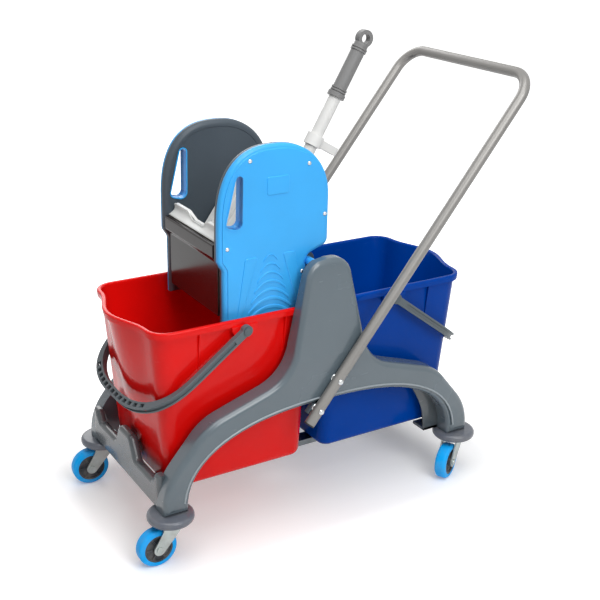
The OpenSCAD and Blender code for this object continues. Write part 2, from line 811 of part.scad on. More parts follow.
// The same curve as a distance along X for a given y
function bail_x(y, half_w, reach) =
    let (t = asin(pow(abs(y) / half_w, 1 / bail_power)))
    -bail_arm - (reach - bail_arm) * pow(cos(t), bail_power);

module bail_band(out_w, out_reach, in_w, in_reach) {
    inner = bail_curve(in_w, in_reach);
    polygon(concat(
        [[0, -out_w]], bail_curve(out_w, out_reach), [[0, out_w]],
        [[0, in_w]], [for (i = [32:-1:0]) inner[i]], [[0, -in_w]]
    ));
}

module bail() translate([-ear_x, 0, ear_z]) rotate([0, -bail_hang, 0]) difference() {
    mid_w = (bail_in_y + bail_out_y) / 2;
    mid_reach = bail_reach - bail_grip / 2;
    window_w = bail_grip / 2;
    plain_arm = 30;
    union() {
        translate([0, 0, -bail_d / 2]) linear_extrude(bail_d)
            bail_band(bail_out_y, bail_reach, bail_in_y, bail_reach - bail_grip);
        both_sides() cross_pin(0, bail_in_y, 0, bail_d / 2 + 3, bail_t);
    }
    translate([0, 0, -bail_d / 4]) linear_extrude(bail_d / 2) difference() {
        bail_band(bail_out_y + 1, bail_reach + 1, bail_out_y - bail_groove, bail_reach - bail_groove);
        translate([-plain_arm, -bucket_w]) square([2 * plain_arm, 2 * bucket_w]);
    }
    for (i = [0:bail_windows - 1]) let (y = (i - (bail_windows - 1) / 2) * window_pitch)
        translate([bail_x(y, mid_w, mid_reach), y, 0])
            rotate([0, 0, atan2(bail_x(y - 1, mid_w, mid_reach) - bail_x(y + 1, mid_w, mid_reach), 2)])
                cube([window_w, window_l, 2 * bail_d], center = true);
    both_sides() cross_pin(0, bail_in_y - 1, 0, bail_pin_d / 2 + fit, bail_t + 2);
}

module red_bail() color("#5c666b") placed() bail();
module blue_bail() color("#5c666b") placed() mirror([1, 0, 0]) bail();

// Wringer

function plate_points() =
    let (step = 8)
    let (step_r = 14)
    let (rear_up = 30)
    let (rear_low = 13)
    let (rear_r = 16)
    concat(
        rounded([
            [wring_front, wring_z, 0], [wring_front, step_z - step, step_r],
            [upper_front, step_z + step, step_r], [upper_front, front_arch_z, 0]
        ]),
        full_arc([upper_mid, front_arch_z], wringer_l / 2, front_arch_h, 0.77, 175, 90, 17),
        full_arc([upper_mid, rear_arch_z], wringer_l / 2, rear_arch_h, 0.93, 85, 5, 16),
        rounded([
            [upper_rear, rear_arch_z, 0], [upper_rear, pin_z + rear_up, rear_r],
            [wring_rear, pin_z + rear_low, rear_r], [wring_rear, wring_z, 0]
        ])
    );

module plate_outline() polygon(plate_points());

// The finger slot, as a tapered opening
module slot_outline(grow) {
    hull() for (c = slot_at)
        translate([upper_mid + c[0], wring_z + c[1]]) circle(c[2] + grow, $fn = 32);
}

module at_screws() {
    for (p = screw_at) translate([upper_mid + p[0], 0, wring_z + p[1]]) children();
}

// Bands of growing width, like a fan, with two flat fields beside them
module cover_relief() {
    mid = upper_mid - 10.5;
    first = wring_z + 135;
    rib_half = 14;
    rib_grow = 6.4;
    rib_drop = 11;
    drop_grow = 2.6;
    rib_h = 3;
    thicken = 0.8;
    rib_most = 7.5;
    for (k = [0:cover_ribs - 1]) {
        half_w = rib_half + rib_grow * k;
        drop = rib_drop + drop_grow * k;
        low = [0, min(rib_most, rib_h + thicken * k)];
        top = [for (i = [-6:6]) let (u = i / 6) [mid + half_w * u, first - rib_pitch * k - drop * u * u]];
        polygon(concat(top, [for (i = [12:-1:0]) top[i] - low]));
    }
    pad_top = first - 2;
    pad_low = wring_z + 12;
    for (s = [-1, 1])
        polygon(rounded([
            [mid + s * 26, pad_top, 4], [mid + s * 52, pad_top, 7],
            [mid + s * 70, pad_low, 4], [mid + s * 62, pad_low, 2]
        ], 4));
    label = [46, 34];
    label_r = 5;
    label_in = 19;
    label_up = 244;
    translate([upper_mid - label_in, wring_z + label_up]) polygon(rounded([
        [0, 0, label_r], [label[0], 0, label_r], [label[0], label[1], label_r], [0, label[1], label_r]
    ], 4));
}

// A flat moulding with the wringer's outline, from y to y + depth, open where it faces the other one
module shell(y, depth, open_y) {
    boss = 2;
    difference() {
        side_slab(y, depth) plate_outline();
        difference() {
            side_slab(open_y, depth) offset(delta = -2 * cover_wall) plate_outline();
            side_slab(open_y - 1, depth + 2) slot_outline(collar_t + cover_wall);
            at_screws() cross_pin(0, open_y - 1, 0, screw_d / 2 + boss, depth + 2);
            cross_pin(-pin_x, open_y - 1, pin_z, pin_d / 2 + 4 * boss, depth + 2);
            cross_pin(shaft_x, open_y - 1, shaft_z, shaft_d / 2 + 3 * boss, depth + 2);
        }
    }
}

module cover() difference() {
    union() {
        shell(plate_out_y, cover_t, plate_out_y - cover_wall);
        intersection() {
            side_slab(cover_y, relief) cover_relief();
            side_slab(cover_y, relief) offset(delta = -cover_wall) plate_outline();
        }
        side_slab(mouth_y, plate_t) slot_outline(collar_t);
    }
    side_slab(mouth_y - 1, wringer_w) slot_outline(0);
    at_screws() cross_pin(0, plate_out_y - 1, 0, screw_d / 4 + 2 * fit, 2 * cover_t);
    cross_pin(-pin_x, plate_out_y - 1, pin_z, pin_d / 2 + run_gap, 2 * cover_t);
}

module left_cover() color(cover_blue) placed() mirror([0, 1, 0]) cover();
module right_cover() color(cover_blue) placed() cover();

module inner_plate() difference() {
    union() {
        shell(mouth_y, plate_t, mouth_y + cover_wall);
        cross_pin(-pin_x, mouth_y, pin_z, pin_d / 2 + 8, plate_t);
    }
    side_slab(mouth_y - 1, plate_t + 2) slot_outline(collar_t + run_gap);
    at_screws() cross_pin(0, mouth_y + cover_wall, 0, screw_d / 4 + fit, plate_t);
    cross_pin(-pin_x, mouth_y - 1, pin_z, pin_d / 2 + fit, plate_t + 2);
    cross_pin(shaft_x, mouth_y - 1, shaft_z, shaft_d / 2 + fit, plate_t + 2);
}

module left_inner_plate() color(dark_plastic) placed() mirror([0, 1, 0]) inner_plate();
module right_inner_plate() color(dark_plastic) placed() inner_plate();

module wringer_front_wall() color("#3d3a38") placed() {
    wall_up = 21;
    low = wring_z + wall_up;
    side_slab(-mouth_y, 2 * mouth_y) polygon(rounded([
        [wring_front, low, 0],
        [wring_front, ledge_z - ledge_h - front_step, 6],
        [upper_front, ledge_z - ledge_h, 4],
        [upper_front, ledge_z, 4],
        [wring_front + wall_t, ledge_z, 2],
        [wring_front + wall_t, low, 0]
    ], 4));
}

module wringer_rear_wall() color(dark_plastic) placed()
    translate([rear_wall_x, -mouth_y, wring_z + 5]) cube([wall_t, 2 * mouth_y, rear_wall_h]);

module drain_floor() color("#f2f2f0") placed() difference() {
    wall_in = wring_front + wall_t;
    rear_up = 17;
    low_z = wring_z + rear_up;
    bridge = 17;
    side_slab(-mouth_y, 2 * mouth_y) polygon([
        [wall_in, floor_z], [jaw_foot[0] + 1, floor_z], [rear_wall_x, low_z],
        [rear_wall_x, low_z - floor_t], [jaw_foot[0] - 1, floor_z - floor_t], [wall_in, floor_z - floor_t]
    ]);
    for (i = [0:drain_slots - 1])
        translate([jaw_foot[0] + bridge, (i - (drain_slots - 1) / 2) * drain_pitch - drain_w / 2, wring_z])
            cube([rear_wall_x - jaw_foot[0] - 2 * bridge, drain_w, floor_z]);
}

module front_jaw() color("#f4f4f2") placed() {
    lean = atan2(jaw_foot[0] - jaw_tip[0], jaw_tip[1] - jaw_foot[1]);
    jaw_l = norm(jaw_tip - jaw_foot);
    dip = 14;
    dip_top = 39;
    dip_low = 20;
    left = [
        [-mouth_y, 0, 0], [-mouth_y, jaw_l, 6], [-dip_top, jaw_l, 12], [-dip_low, jaw_l - dip, 12]
    ];
    translate([jaw_foot[0], 0, jaw_foot[1]]) rotate([0, -lean, 0]) end_slab(-front_jaw_t, front_jaw_t)
        polygon(rounded(concat(left, [for (i = [3:-1:0]) [-left[i][0], left[i][1], left[i][2]]]), 5));
}

module hanger_pins() color(cover_blue) placed() both_sides() {
    cross_pin(-pin_x, mouth_y - pin_head, pin_z, pin_d / 2, panel_y + socket_depth - mouth_y + pin_head);
    cross_pin(-pin_x, mouth_y - pin_head, pin_z, pin_d / 2 + pin_head, pin_head);
}

module cover_screws() color("#d7d9da") placed() both_sides() at_screws()
    translate([0, cover_y, 0]) rotate([-90, 0, 0]) {
        head_h = 2.6;
        rotate_extrude() polygon(concat(
            dome(screw_d / 2, head_h), [[screw_d / 4, 0], [screw_d / 4, -screw_l], [0, -screw_l]]
        ));
    }

module press_shaft() color(bright_metal) placed()
    cross_pin(shaft_x, -plate_out_y + run_gap, shaft_z, shaft_d / 2, 2 * (plate_out_y - run_gap));

// Press lever, all turning together about the shaft

module at_shaft(angle) {
    translate([shaft_x, 0, shaft_z]) rotate([0, angle, 0]) children();
}

module lever_hub() color(dark_plastic) placed() difference() {
    socket_wall = 4.5;
    arm_y = 30;
    arm_t = 10;
    arm_h = 1.2 * jaw_low;
    union() {
        at_shaft(0) cross_pin(0, -hub_l / 2, 0, hub_r, hub_l);
        at_shaft(lever_lean) cylinder(h = socket_l, r = lever_d / 2 + socket_wall);
        at_shaft(-jaw_angle) both_sides()
            translate([0, arm_y, -arm_h / 2]) cube([jaw_out - jaw_t, arm_t, arm_h]);
    }
    at_shaft(0) cross_pin(0, -hub_l, 0, shaft_d / 2 + fit, 2 * hub_l);
    at_shaft(lever_lean) translate([0, 0, tube_start]) cylinder(h = socket_l, r = lever_d / 2 + fit);
}

module moving_jaw() color("#f4f4f2") placed() at_shaft(-jaw_angle) {
    half = mouth_y - 3;
    rib_w = 5;
    rib_h = 3;
    rib_gap = 26;
    margin = 8;
    tall = jaw_high + jaw_low;
    translate([jaw_out - jaw_t, -half, -jaw_high]) cube([jaw_t, 2 * half, tall]);
    for (i = [-3:3])
        translate([jaw_out, i * rib_gap - rib_w / 2, -jaw_high + margin])
            cube([rib_h, rib_w, tall - 2 * margin]);
}

module lever_tube() color("#f0f0ee") placed() at_shaft(lever_lean) difference() {
    translate([0, 0, tube_start]) cylinder(h = tube_end - tube_start, r = lever_d / 2);
    cylinder(h = lever_l, r = lever_d / 2 - tube_wall);
}

module lever_grip() color("#808080") placed() at_shaft(lever_lean) difference() {
    neck = lever_l - grip_l;
    flange_h = 9;
    flange_out = 1;
    waist_r = grip_d / 2 - 2.5;
    ring_r = grip_d / 2 - 0.6;
    ring_h = 3.2;
    ring_pitch = 5;
    eye_t = 0.4 * grip_d;
    body_end = grip_end - hang_d / 2 - 2;
    union() {
        translate([0, 0, neck]) cylinder(h = flange_h, r = grip_d / 2 + flange_out);
        translate([0, 0, neck]) cylinder(h = body_end - neck, r = waist_r);
        for (i = [0, 1], z = [neck + flange_h + 2, body_end - 16])
            translate([0, 0, z + ring_pitch * i]) cylinder(h = ring_h, r = ring_r);
        cross_pin(0, -eye_t / 2, grip_end, grip_d / 2, eye_t);
    }
    translate([0, 0, neck - 1]) cylinder(h = tube_end - neck + 1, r = lever_d / 2 + fit);
    cross_pin(0, -grip_d, grip_end, hang_d / 2, 2 * grip_d);
}

module lever_clip() color("#f6f6f4") placed() at_shaft(lever_lean) translate([0, 0, clip_up]) difference() {
    clip_h = 22;
    clip_wall = 5;
    arm_w = 18;
    arm_h = 16;
    arm_up = (clip_h - arm_h) / 2;
    union() {
        cylinder(h = clip_h, r = lever_d / 2 + clip_wall);
        translate([0, -arm_w / 2, arm_up]) cube([clip_reach, arm_w, arm_h]);
        translate([clip_reach, 0, arm_up]) cylinder(h = arm_h, r = arm_w / 2);
    }
    translate([0, 0, -1]) cylinder(h = clip_h + 2, r = lever_d / 2 + fit);
}

left_side_panel();
right_side_panel();
front_end_panel();
rear_end_panel();
centre_beam();
base_rails();
tower_crossbar();
push_handle();
handle_plugs();
handle_bolts();
caster_bumpers();
caster_stems();
caster_races();
fork_front_left();
fork_front_right();
fork_rear_left();
fork_rear_right();
axle_front_left();
axle_front_right();
axle_rear_left();
axle_rear_right();
hub_front_left();
hub_front_right();
hub_rear_left();
hub_rear_right();
tyre_front_left();
tyre_front_right();
tyre_rear_left();
tyre_rear_right();
red_bucket();
blue_bucket();
red_bail();
blue_bail();
red_bail_pins();
blue_bail_pins();
left_cover();
right_cover();
left_inner_plate();
right_inner_plate();
wringer_front_wall();
wringer_rear_wall();
drain_floor();
front_jaw();
hanger_pins();
cover_screws();
press_shaft();
lever_hub();
moving_jaw();
lever_tube();
lever_grip();
lever_clip();
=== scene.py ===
"""Finishes and rounded mouldings of a double mop bucket trolley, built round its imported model."""

import json
import math
from collections import Counter
from functools import cache

import bmesh
import bpy
from bpy.props import FloatProperty, FloatVectorProperty, IntProperty, PointerProperty
from mathutils import Matrix, Vector
from mathutils.geometry import tessellate_polygon


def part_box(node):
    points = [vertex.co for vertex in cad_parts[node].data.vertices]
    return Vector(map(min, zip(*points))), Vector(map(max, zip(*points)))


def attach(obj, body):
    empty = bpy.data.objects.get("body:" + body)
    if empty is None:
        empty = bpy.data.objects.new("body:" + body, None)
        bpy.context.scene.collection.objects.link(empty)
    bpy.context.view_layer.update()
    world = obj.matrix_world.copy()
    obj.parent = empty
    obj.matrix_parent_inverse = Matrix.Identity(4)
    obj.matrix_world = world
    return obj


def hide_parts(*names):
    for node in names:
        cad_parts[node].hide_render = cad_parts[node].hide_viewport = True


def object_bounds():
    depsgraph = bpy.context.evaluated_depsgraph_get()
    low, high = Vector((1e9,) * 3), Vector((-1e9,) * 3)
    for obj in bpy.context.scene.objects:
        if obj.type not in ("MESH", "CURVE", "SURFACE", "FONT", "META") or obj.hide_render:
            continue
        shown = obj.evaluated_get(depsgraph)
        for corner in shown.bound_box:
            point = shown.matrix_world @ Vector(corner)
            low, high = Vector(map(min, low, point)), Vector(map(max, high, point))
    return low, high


bl_info = {
    "name": "Mop Bucket Trolley",
    "version": (1, 0, 0),
    "blender": (4, 5, 0),
    "location": "3D View > Sidebar > Trolley",
    "description": "Rounds the mouldings of a double mop bucket trolley and finishes its surfaces",
    "category": "Object",
}

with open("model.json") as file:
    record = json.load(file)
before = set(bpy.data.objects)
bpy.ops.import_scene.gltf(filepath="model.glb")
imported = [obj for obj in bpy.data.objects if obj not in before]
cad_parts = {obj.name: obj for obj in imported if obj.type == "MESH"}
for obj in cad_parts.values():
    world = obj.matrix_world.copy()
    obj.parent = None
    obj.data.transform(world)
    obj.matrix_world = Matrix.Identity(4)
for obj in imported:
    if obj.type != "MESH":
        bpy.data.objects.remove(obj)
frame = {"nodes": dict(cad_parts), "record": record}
CAD_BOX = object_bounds()
NODES = frame["nodes"]
OPENINGS = {o["name"]: o["box_m"] for o in frame["record"]["physics"]["openings"]}
JOINTS = {j["name"]: j for j in frame["record"]["behaviour"]["joints"]}
SIDES = ("left", "right")
CORNERS = ("front_left", "front_right", "rear_left", "rear_right")
MM = 0.001
FLAT = 2e-5  # corners this near a level lie in it
FINE = 2e-6  # points this near each other, or this near a straight line, are one
SHARP = math.radians(35)  # edges that turn further stay sharp


# Settings

def srgb(code):
    """A linear colour from its six hex digits."""
    parts = [int(code[i:i + 2], 16) / 255 for i in (0, 2, 4)]
    return tuple(p / 12.92 if p <= 0.04045 else ((p + 0.055) / 1.055) ** 2.4 for p in parts)


def colour(name, code):
    return FloatVectorProperty(
        name=name, description=name + " as it looks in plain light", default=srgb(code),
        subtype="COLOR", size=3, min=0, max=1,
    )


def length(name, description, millimetres):
    return FloatProperty(name=name, description=description, default=millimetres * MM, min=0, unit="LENGTH")


def share(name, description, default):
    return FloatProperty(name=name, description=description, default=default, min=0, max=1)


def power(name, watts):
    return FloatProperty(name=name, description="Power of the " + name.lower(), default=watts, unit="POWER")


def turn(name, description, degrees):
    return FloatProperty(name=name, description=description, default=math.radians(degrees), unit="ROTATION")


class ChassisLook(bpy.types.PropertyGroup):
    """Grey mouldings that carry the buckets."""
    grey: colour("Chassis grey", "59666e")
    # Lighter than the chassis grey of the same plastic: a painted highlight along the arch lip
    lip_highlight: colour("Arch lip grey with painted highlight", "8f999f")
    # Darker than the chassis grey of the same plastic: painted shade on the end panels and the rear wings
    end: colour("End panel grey", "454d52")
    steel: colour("Bar steel", "6f7477")
    # Dark so that what shows of the beam between the buckets reads as shade: painted shade
    beam: colour("Beam grey", "3a3f43")
    panel_edge: length("Panel edge", "Radius of a side panel's outer edges", 12)
    end_edge: length("End panel edge", "Radius of an end panel's edges", 8)
    wing_reach: length("Wing reach", "Reach of a rear wing from the rear end, at its foot", 86)
    wing_sweep: length("Wing sweep", "How much further it reaches 100 mm above its foot", 32)
    wing_foot: length("Wing foot", "How far its foot turns in under the blue bucket", 38)
    lip_up: length("Lip height", "Distance of the raised lip from the arch's edge", 11)
    flange_drop: length("Flange drop", "Depth of the flange along an arch below the panel's face", 3)
    lip_width: length("Lip width", "Thickness of the raised lip along an arch", 4)


class BucketLook(bpy.types.PropertyGroup):
    """Buckets and their bails."""
    red: colour("Red plastic", "e60f0c")
    blue: colour("Blue plastic", "00409e")
    bail: colour("Bail grey", "5c666b")
    pin: colour("Pin grey", "545e63")
    red_gloss: share("Red gloss", "Shine of the red bucket's plastic", 0.16)
    blue_gloss: share("Blue gloss", "Shine of the blue bucket's plastic", 0.06)
    bail_edge: length("Bail edge", "Rounding of a bail's edges", 1)


class WringerLook(bpy.types.PropertyGroup):
    """Covers, plates, walls and jaws of the wringer."""
    cover: colour("Cover blue", "3aaef6")
    plate: colour("Plate grey", "4a545d")
    wall: colour("Wall brown", "262120")
    white: colour("Jaw white", "eff0ee")
    screw: colour("Screw steel", "cfd2d4")
    border: length("Cover border", "Width of the lower border round a cover", 7)
    border_drop: length("Border drop", "Depth of the border below the cover's face", 2.5)
    plate_edge: length("Plate edge", "Radius of an inner plate's edges", 9)
    band: length("Plate band", "Width of the raised band along an inner plate's edge", 13)
    band_drop: length("Band height", "Height of that band over the plate", 1)
    lip_hollow: length("Lip hollow", "Depth of the curve in the fixed jaw's lip", 2)
    lip_landing: length("Lip landing", "How far that lip reaches on to the ledge", 6)


class HandleLook(bpy.types.PropertyGroup):
    """Push handle and press lever."""
    tube: colour("Handle paint", "868481")
    bolt: colour("Bolt chrome", "c4c7c8")
    plug: colour("Plug black", "2b2e30")
    lever: colour("Lever paint", "dededc")
    grip: colour("Grip grey", "7d7d7d")
    clip: colour("Clip white", "e6e6e4")


class CasterLook(bpy.types.PropertyGroup):
    """Casters and their bumpers."""
    zinc: colour("Zinc", "b4bcba")
    tyre: colour("Tyre blue", "00acff")
    hub: colour("Hub grey", "3a3e44")
    bumper: colour("Bumper grey", "636872")
    ribs: IntProperty(name="Hub ribs", description="Number of ribs on a hub", default=6, min=3, max=12)


class StageLook(bpy.types.PropertyGroup):
    """Floor, light and camera."""
    floor: colour("Floor white", "f4f4f4")
    key_power: power("Key light", 44)
    top_power: power("Top light", 50)
    back_power: power("Back light", 26)
    sky: share("Sky", "Strength of the light that comes from all round", 0.2)
    shade_glow: share("Shade glow", "Strength of the floor's own white under the trolley", 0.2)
    mirror_glow: share("Mirror glow", "Strength of the floor's own white in reflections", 0.5)
    shade_reach: length("Shade reach", "Distance from the trolley where the floor is plain white", 260)
    lens: FloatProperty(name="Lens", description="Focal length", default=64.06, unit="CAMERA")
    yaw: turn("Yaw", "Turn of the view from +Y towards +X", 31.8456)
    pitch: turn("Pitch", "How far the view looks down", 21.5097)
    roll: turn("Roll", "Tilt of the view round its own axis", 1.2903)
    eye: FloatVectorProperty(
        name="Eye", description="Place of the camera", default=(-1.0396, -1.7035, 1.1799), unit="LENGTH",
    )


LOOKS = {
    "trolley_chassis": ChassisLook,
    "trolley_buckets": BucketLook,
    "trolley_wringer": WringerLook,
    "trolley_handles": HandleLook,
    "trolley_casters": CasterLook,
    "trolley_stage": StageLook,
}


# Shader groups

def feed(tree, node, values):
    """Link or set a node's inputs, each by its name or its place, and give its outputs."""
    for key, value in values.items():
        if isinstance(value, bpy.types.NodeSocket):
            tree.links.new(value, node.inputs[key])
        else:
            node.inputs[key].default_value = value
    return node.outputs


def node_group(name, control, outputs):
    """An empty shader group: its tree, its one control, its end and an object coordinate."""
    tree = bpy.data.node_groups.new(name, "ShaderNodeTree")
    tree.interface.new_socket(control, in_out="INPUT", socket_type="NodeSocketFloat")
    for label in outputs:
        tree.interface.new_socket(label, in_out="OUTPUT", socket_type="NodeSocketFloat")
    start = tree.nodes.new("NodeGroupInput")
    end = tree.nodes.new("NodeGroupOutput")
    place = tree.nodes.new("ShaderNodeTexCoord")
    return tree, start.outputs[control], end, place.outputs["Object"]


def noise(tree, place, scale, detail, stretch=None):
    """A noise texture's value at a place, its scale a number or a socket."""
    if stretch:
        mapping = tree.nodes.new("ShaderNodeMapping")
        place = feed(tree, mapping, {"Vector": place, "Scale": stretch})["Vector"]
    texture = tree.nodes.new("ShaderNodeTexNoise")
    return feed(tree, texture, {"Vector": place, "Scale": scale, "Detail": detail})["Fac"]


def remap(tree, value, low, high, to_low=0.0, to_high=1.0):
    """A value moved from one range to another and kept inside it."""
    node = tree.nodes.new("ShaderNodeMapRange")
    ends = {"From Min": low, "From Max": high, "To Min": to_low, "To Max": to_high}
    return feed(tree, node, {"Value": value, **ends})["Result"]


def maths(tree, operation, first, second):
    """The result of one operation on two values, each a number or a socket."""
    node = tree.nodes.new("ShaderNodeMath")
    node.operation = operation
    return feed(tree, node, {0: first, 1: second})[0]


@cache
def moulded_group():
    """Slow drift of tone, fine moulded grain and a few scuffs."""
    tree, grain, end, place = node_group("Moulded Surface", "Grain", ("Tone", "Grain", "Scuff"))
    feed(tree, end, {
        "Tone": remap(tree, noise(tree, place, 7.0, 4.0), 0.3, 0.7),
        "Grain": noise(tree, place, grain, 2.0),
        "Scuff": remap(tree, noise(tree, place, 28.0, 5.0, (1.0, 1.0, 6.0)), 0.67, 0.76),
    })
    return tree


@cache
def dust_group():
    """Floor dust that settles on low pieces and thins out with height."""
    tree, top, end, place = node_group("Floor Dust", "Height", ("Dust",))
    split = tree.nodes.new("ShaderNodeSeparateXYZ")
    height = feed(tree, split, {0: place})["Z"]
    low = remap(tree, height, 0.0, top, 1.0, 0.0)
    patch = remap(tree, noise(tree, place, 45.0, 5.0), 0.42, 0.68)
    feed(tree, end, {"Dust": maths(tree, "MULTIPLY", low, patch)})
    return tree


@cache
def brushed_group():
    """Drawn or rolled metal: long fine streaks and a clouded zinc bloom."""
    tree, streaks, end, place = node_group("Drawn Metal", "Streaks", ("Streak", "Bloom"))
    feed(tree, end, {
        "Streak": noise(tree, place, streaks, 2.0, (1.0, 1.0, 0.12)),
        "Bloom": remap(tree, noise(tree, place, 60.0, 4.0), 0.35, 0.65),
    })
    return tree


# Materials

def start_material(name):
    """A material with its tree, its Principled shader and a function that places a group in it."""
    material = bpy.data.materials.new(name)
    material.use_nodes = True
    tree = material.node_tree
    shader = tree.nodes["Principled BSDF"]

    def place(group, **values):
        node = tree.nodes.new("ShaderNodeGroup")
        node.node_tree = group
        return feed(tree, node, values)

    return material, tree, shader, place


def mix_colour(tree, factor, first, second):
    """A colour between two others, each a colour or a socket."""
    node = tree.nodes.new("ShaderNodeMix")
    node.data_type = "RGBA"
    ends = [v if isinstance(v, bpy.types.NodeSocket) else (*v, 1) for v in (first, second)]
    return feed(tree, node, {"Factor": factor, 6: ends[0], 7: ends[1]})[2]


def tinted(base, factor):
    return tuple(min(1.0, c * factor) for c in base)


def dusted(tree, place, body, amount, height, tone):
    """A colour with dust over it, up to a height above the floor."""
    if not amount:
        return body
    settled = maths(tree, "MULTIPLY", place(dust_group(), Height=height)["Dust"], amount)
    return mix_colour(tree, settled, body, srgb(tone))


def bumps(tree, height, depth):
    """The normal of a surface that a height raises."""
    node = tree.nodes.new("ShaderNodeBump")
    return feed(tree, node, {"Strength": 0.35, "Distance": depth, "Height": height})["Normal"]


def plastic(name, base, rough, grain=900.0, depth=0.00004, shine=0.3, coat=0.0, dust=0.0, flake=0.0):
    """Injection moulded plastic with drifting tone, fine grain and faint scuffs."""
    material, tree, shader, place = start_material(name)
    surface = place(moulded_group(), Grain=grain)
    body = mix_colour(tree, surface["Tone"], tinted(base, 0.95), tinted(base, 1.05))
    pale = tuple(0.75 * c + 0.25 for c in base)
    body = mix_colour(tree, maths(tree, "MULTIPLY", surface["Scuff"], 0.03), body, pale)
    uneven = remap(tree, surface["Tone"], 0.0, 1.0, rough * 0.9, rough * 1.1)
    worn = maths(tree, "MULTIPLY", surface["Scuff"], 0.05)
    feed(tree, shader, {
        "Base Color": dusted(tree, place, body, dust, 0.25, "b9b4aa"),
        "Roughness": maths(tree, "ADD", uneven, worn),
        "Specular IOR Level": shine,
        "Coat Weight": coat,
        "Coat Roughness": 0.08,
        "Metallic": flake,
        "Normal": bumps(tree, surface["Grain"], depth),
    })
    return material


def metal(name, base, rough, streaks=500.0, dust=0.0):
    """Bare or plated metal with streaks along its length and a clouded bloom."""
    material, tree, shader, place = start_material(name)
    surface = place(brushed_group(), Streaks=streaks)
    body = mix_colour(tree, surface["Bloom"], tinted(base, 0.88), tinted(base, 1.06))
    feed(tree, shader, {
        "Base Color": dusted(tree, place, body, dust, 0.15, "8d877c"),
        "Metallic": 1.0,
        "Roughness": remap(tree, surface["Streak"], 0.3, 0.7, rough * 0.8, rough * 1.25),
        "Normal": bumps(tree, surface["Streak"], 0.00003),
    })
    return material


def paint(name, base, rough, coat, flake=0.0):
    """Paint on tube with a soft orange peel, and metal flake where the paint has some."""
    return plastic(name, base, rough, grain=120.0, depth=0.000003, shine=0.5, coat=coat, flake=flake)


def chassis_plastic(name, base):
    """The finish of the large chassis mouldings."""
    return plastic(name, base, 0.26, grain=420, shine=0.5, coat=0.35, dust=0.06)


# Outlines

AXES = {"x": (1, 2, 0), "y": (0, 2, 1)}


def faces(node, side):
    """A node's inner and outer end in Y on one side of the trolley, and the sign of the way out."""
    low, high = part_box(node)
    return (high.y, low.y, -1) if side == "left" else (low.y, high.y, 1)


def signed_area(loop):
    return sum(a[0] * b[1] - b[0] * a[1] for a, b in zip(loop, loop[1:] + loop[:1])) / 2


def anticlockwise(loop):
    return loop if signed_area(loop) > 0 else loop[::-1]


def corners_of(loop):
    """Each point of a loop between the points before and after it."""
    return zip(loop[-1:] + loop[:-1], loop, loop[1:] + loop[:1])


def straightened(loop):
    """A loop without the points that lie on a straight line between their neighbours."""
    kept = []
    for before, (x, z), after in corners_of(loop):
        twist = (x - before[0]) * (after[1] - before[1]) - (z - before[1]) * (after[0] - before[0])
        span = math.dist(before, after)
        if span > 1e-9 and abs(twist) / span > FINE:
            kept.append((x, z))
    return kept


def face_loops(node, axis, level):
    """Outlines of a node's flat faces at a level of an axis, the largest first, anticlockwise."""
    across, up, along = AXES[axis]
    mesh = NODES[node].data
    edges = Counter()
    for polygon in mesh.polygons:
        corners = [mesh.vertices[i].co for i in polygon.vertices]
        if all(abs(c[along] - level) < FLAT for c in corners):
            keys = [(round(c[across], 6), round(c[up], 6)) for c in corners]
            edges.update(frozenset(pair) for pair in zip(keys, keys[1:] + keys[:1]))
    neighbours = {}
    for edge, count in edges.items():
        if count == 1 and len(edge) == 2:
            a, b = edge
            neighbours.setdefault(a, []).append(b)
            neighbours.setdefault(b, []).append(a)
    loops = []
    while neighbours:
        loop = [min(neighbours)]
        while True:
            fresh = [n for n in neighbours[loop[-1]] if n in neighbours and n not in loop]
            if not fresh:
                break
            loop.append(fresh[0])
        for point in loop:
            neighbours.pop(point)
        if len(loop) > 2:
            loops.append(anticlockwise(straightened(loop)))
    if not loops:
        raise RuntimeError(f"{node} has no flat face at {level} on {axis}")
    return sorted(loops, key=signed_area, reverse=True)


def step_below(node, crest):
    """Depth of a node's largest flat face that lies a little below its outermost one in Y."""
    areas = Counter()
    for polygon in NODES[node].data.polygons:
        if abs(polygon.normal.y) > 0.999:
            areas[round(abs(crest - polygon.center.y), 5)] += polygon.area
    return max((depth for depth in areas if 0.3 * MM < depth < 4 * MM), key=lambda depth: areas[depth])


def slot_loop(loops, side):
    """The outline of the finger slot among a face's outlines."""
    low, high = OPENINGS[side + "_finger_slot"]
    middle = ((low[0] + high[0]) / 2, (low[2] + high[2]) / 2)
    for loop in loops[1:]:
        xs = [p[0] for p in loop]
        zs = [p[1] for p in loop]
        if min(xs) < middle[0] < max(xs) and min(zs) < middle[1] < max(zs):
            return loop
    raise RuntimeError(f"no finger slot on the {side} side")


def moved_in(loop, inset):
    """A loop with every corner moved to the left of its travel, which is into the material."""
    moved = []
    for before, point, after in corners_of(loop):
        come = Vector(point) - Vector(before)
        go = Vector(after) - Vector(point)
        one = Vector((-come.y, come.x)).normalized()
        two = Vector((-go.y, go.x)).normalized()
        bisector = (one + two) / max(0.35, 1 + one.dot(two))
        moved.append((point[0] + bisector.x * inset, point[1] + bisector.y * inset))
    return moved


def arch_line(outline, up):
    """The part of a side panel's outline under the arch, moved into the panel."""
    foot_top = min(p[1] for p in outline) + 4 * MM
    line = []
    for (before, point, after), moved in zip(corners_of(outline), moved_in(outline, up)):
        if after[0] > before[0] and point[1] > foot_top:
            line.append(moved)
    return sorted(line, key=lambda p: p[0])


# Meshes and pieces

def as_mesh(grid, name):
    """A named mesh of a grid, which is freed."""
    mesh = bpy.data.meshes.new(name)
    grid.to_mesh(mesh)
    grid.free()
    return mesh


def bridge(grid, rings):
    """Side faces between closed rings of corners."""
    for low, high in zip(rings, rings[1:]):
        for i in range(len(low)):
            j = (i + 1) % len(low)
            grid.faces.new((low[i], low[j], high[j], high[i]))


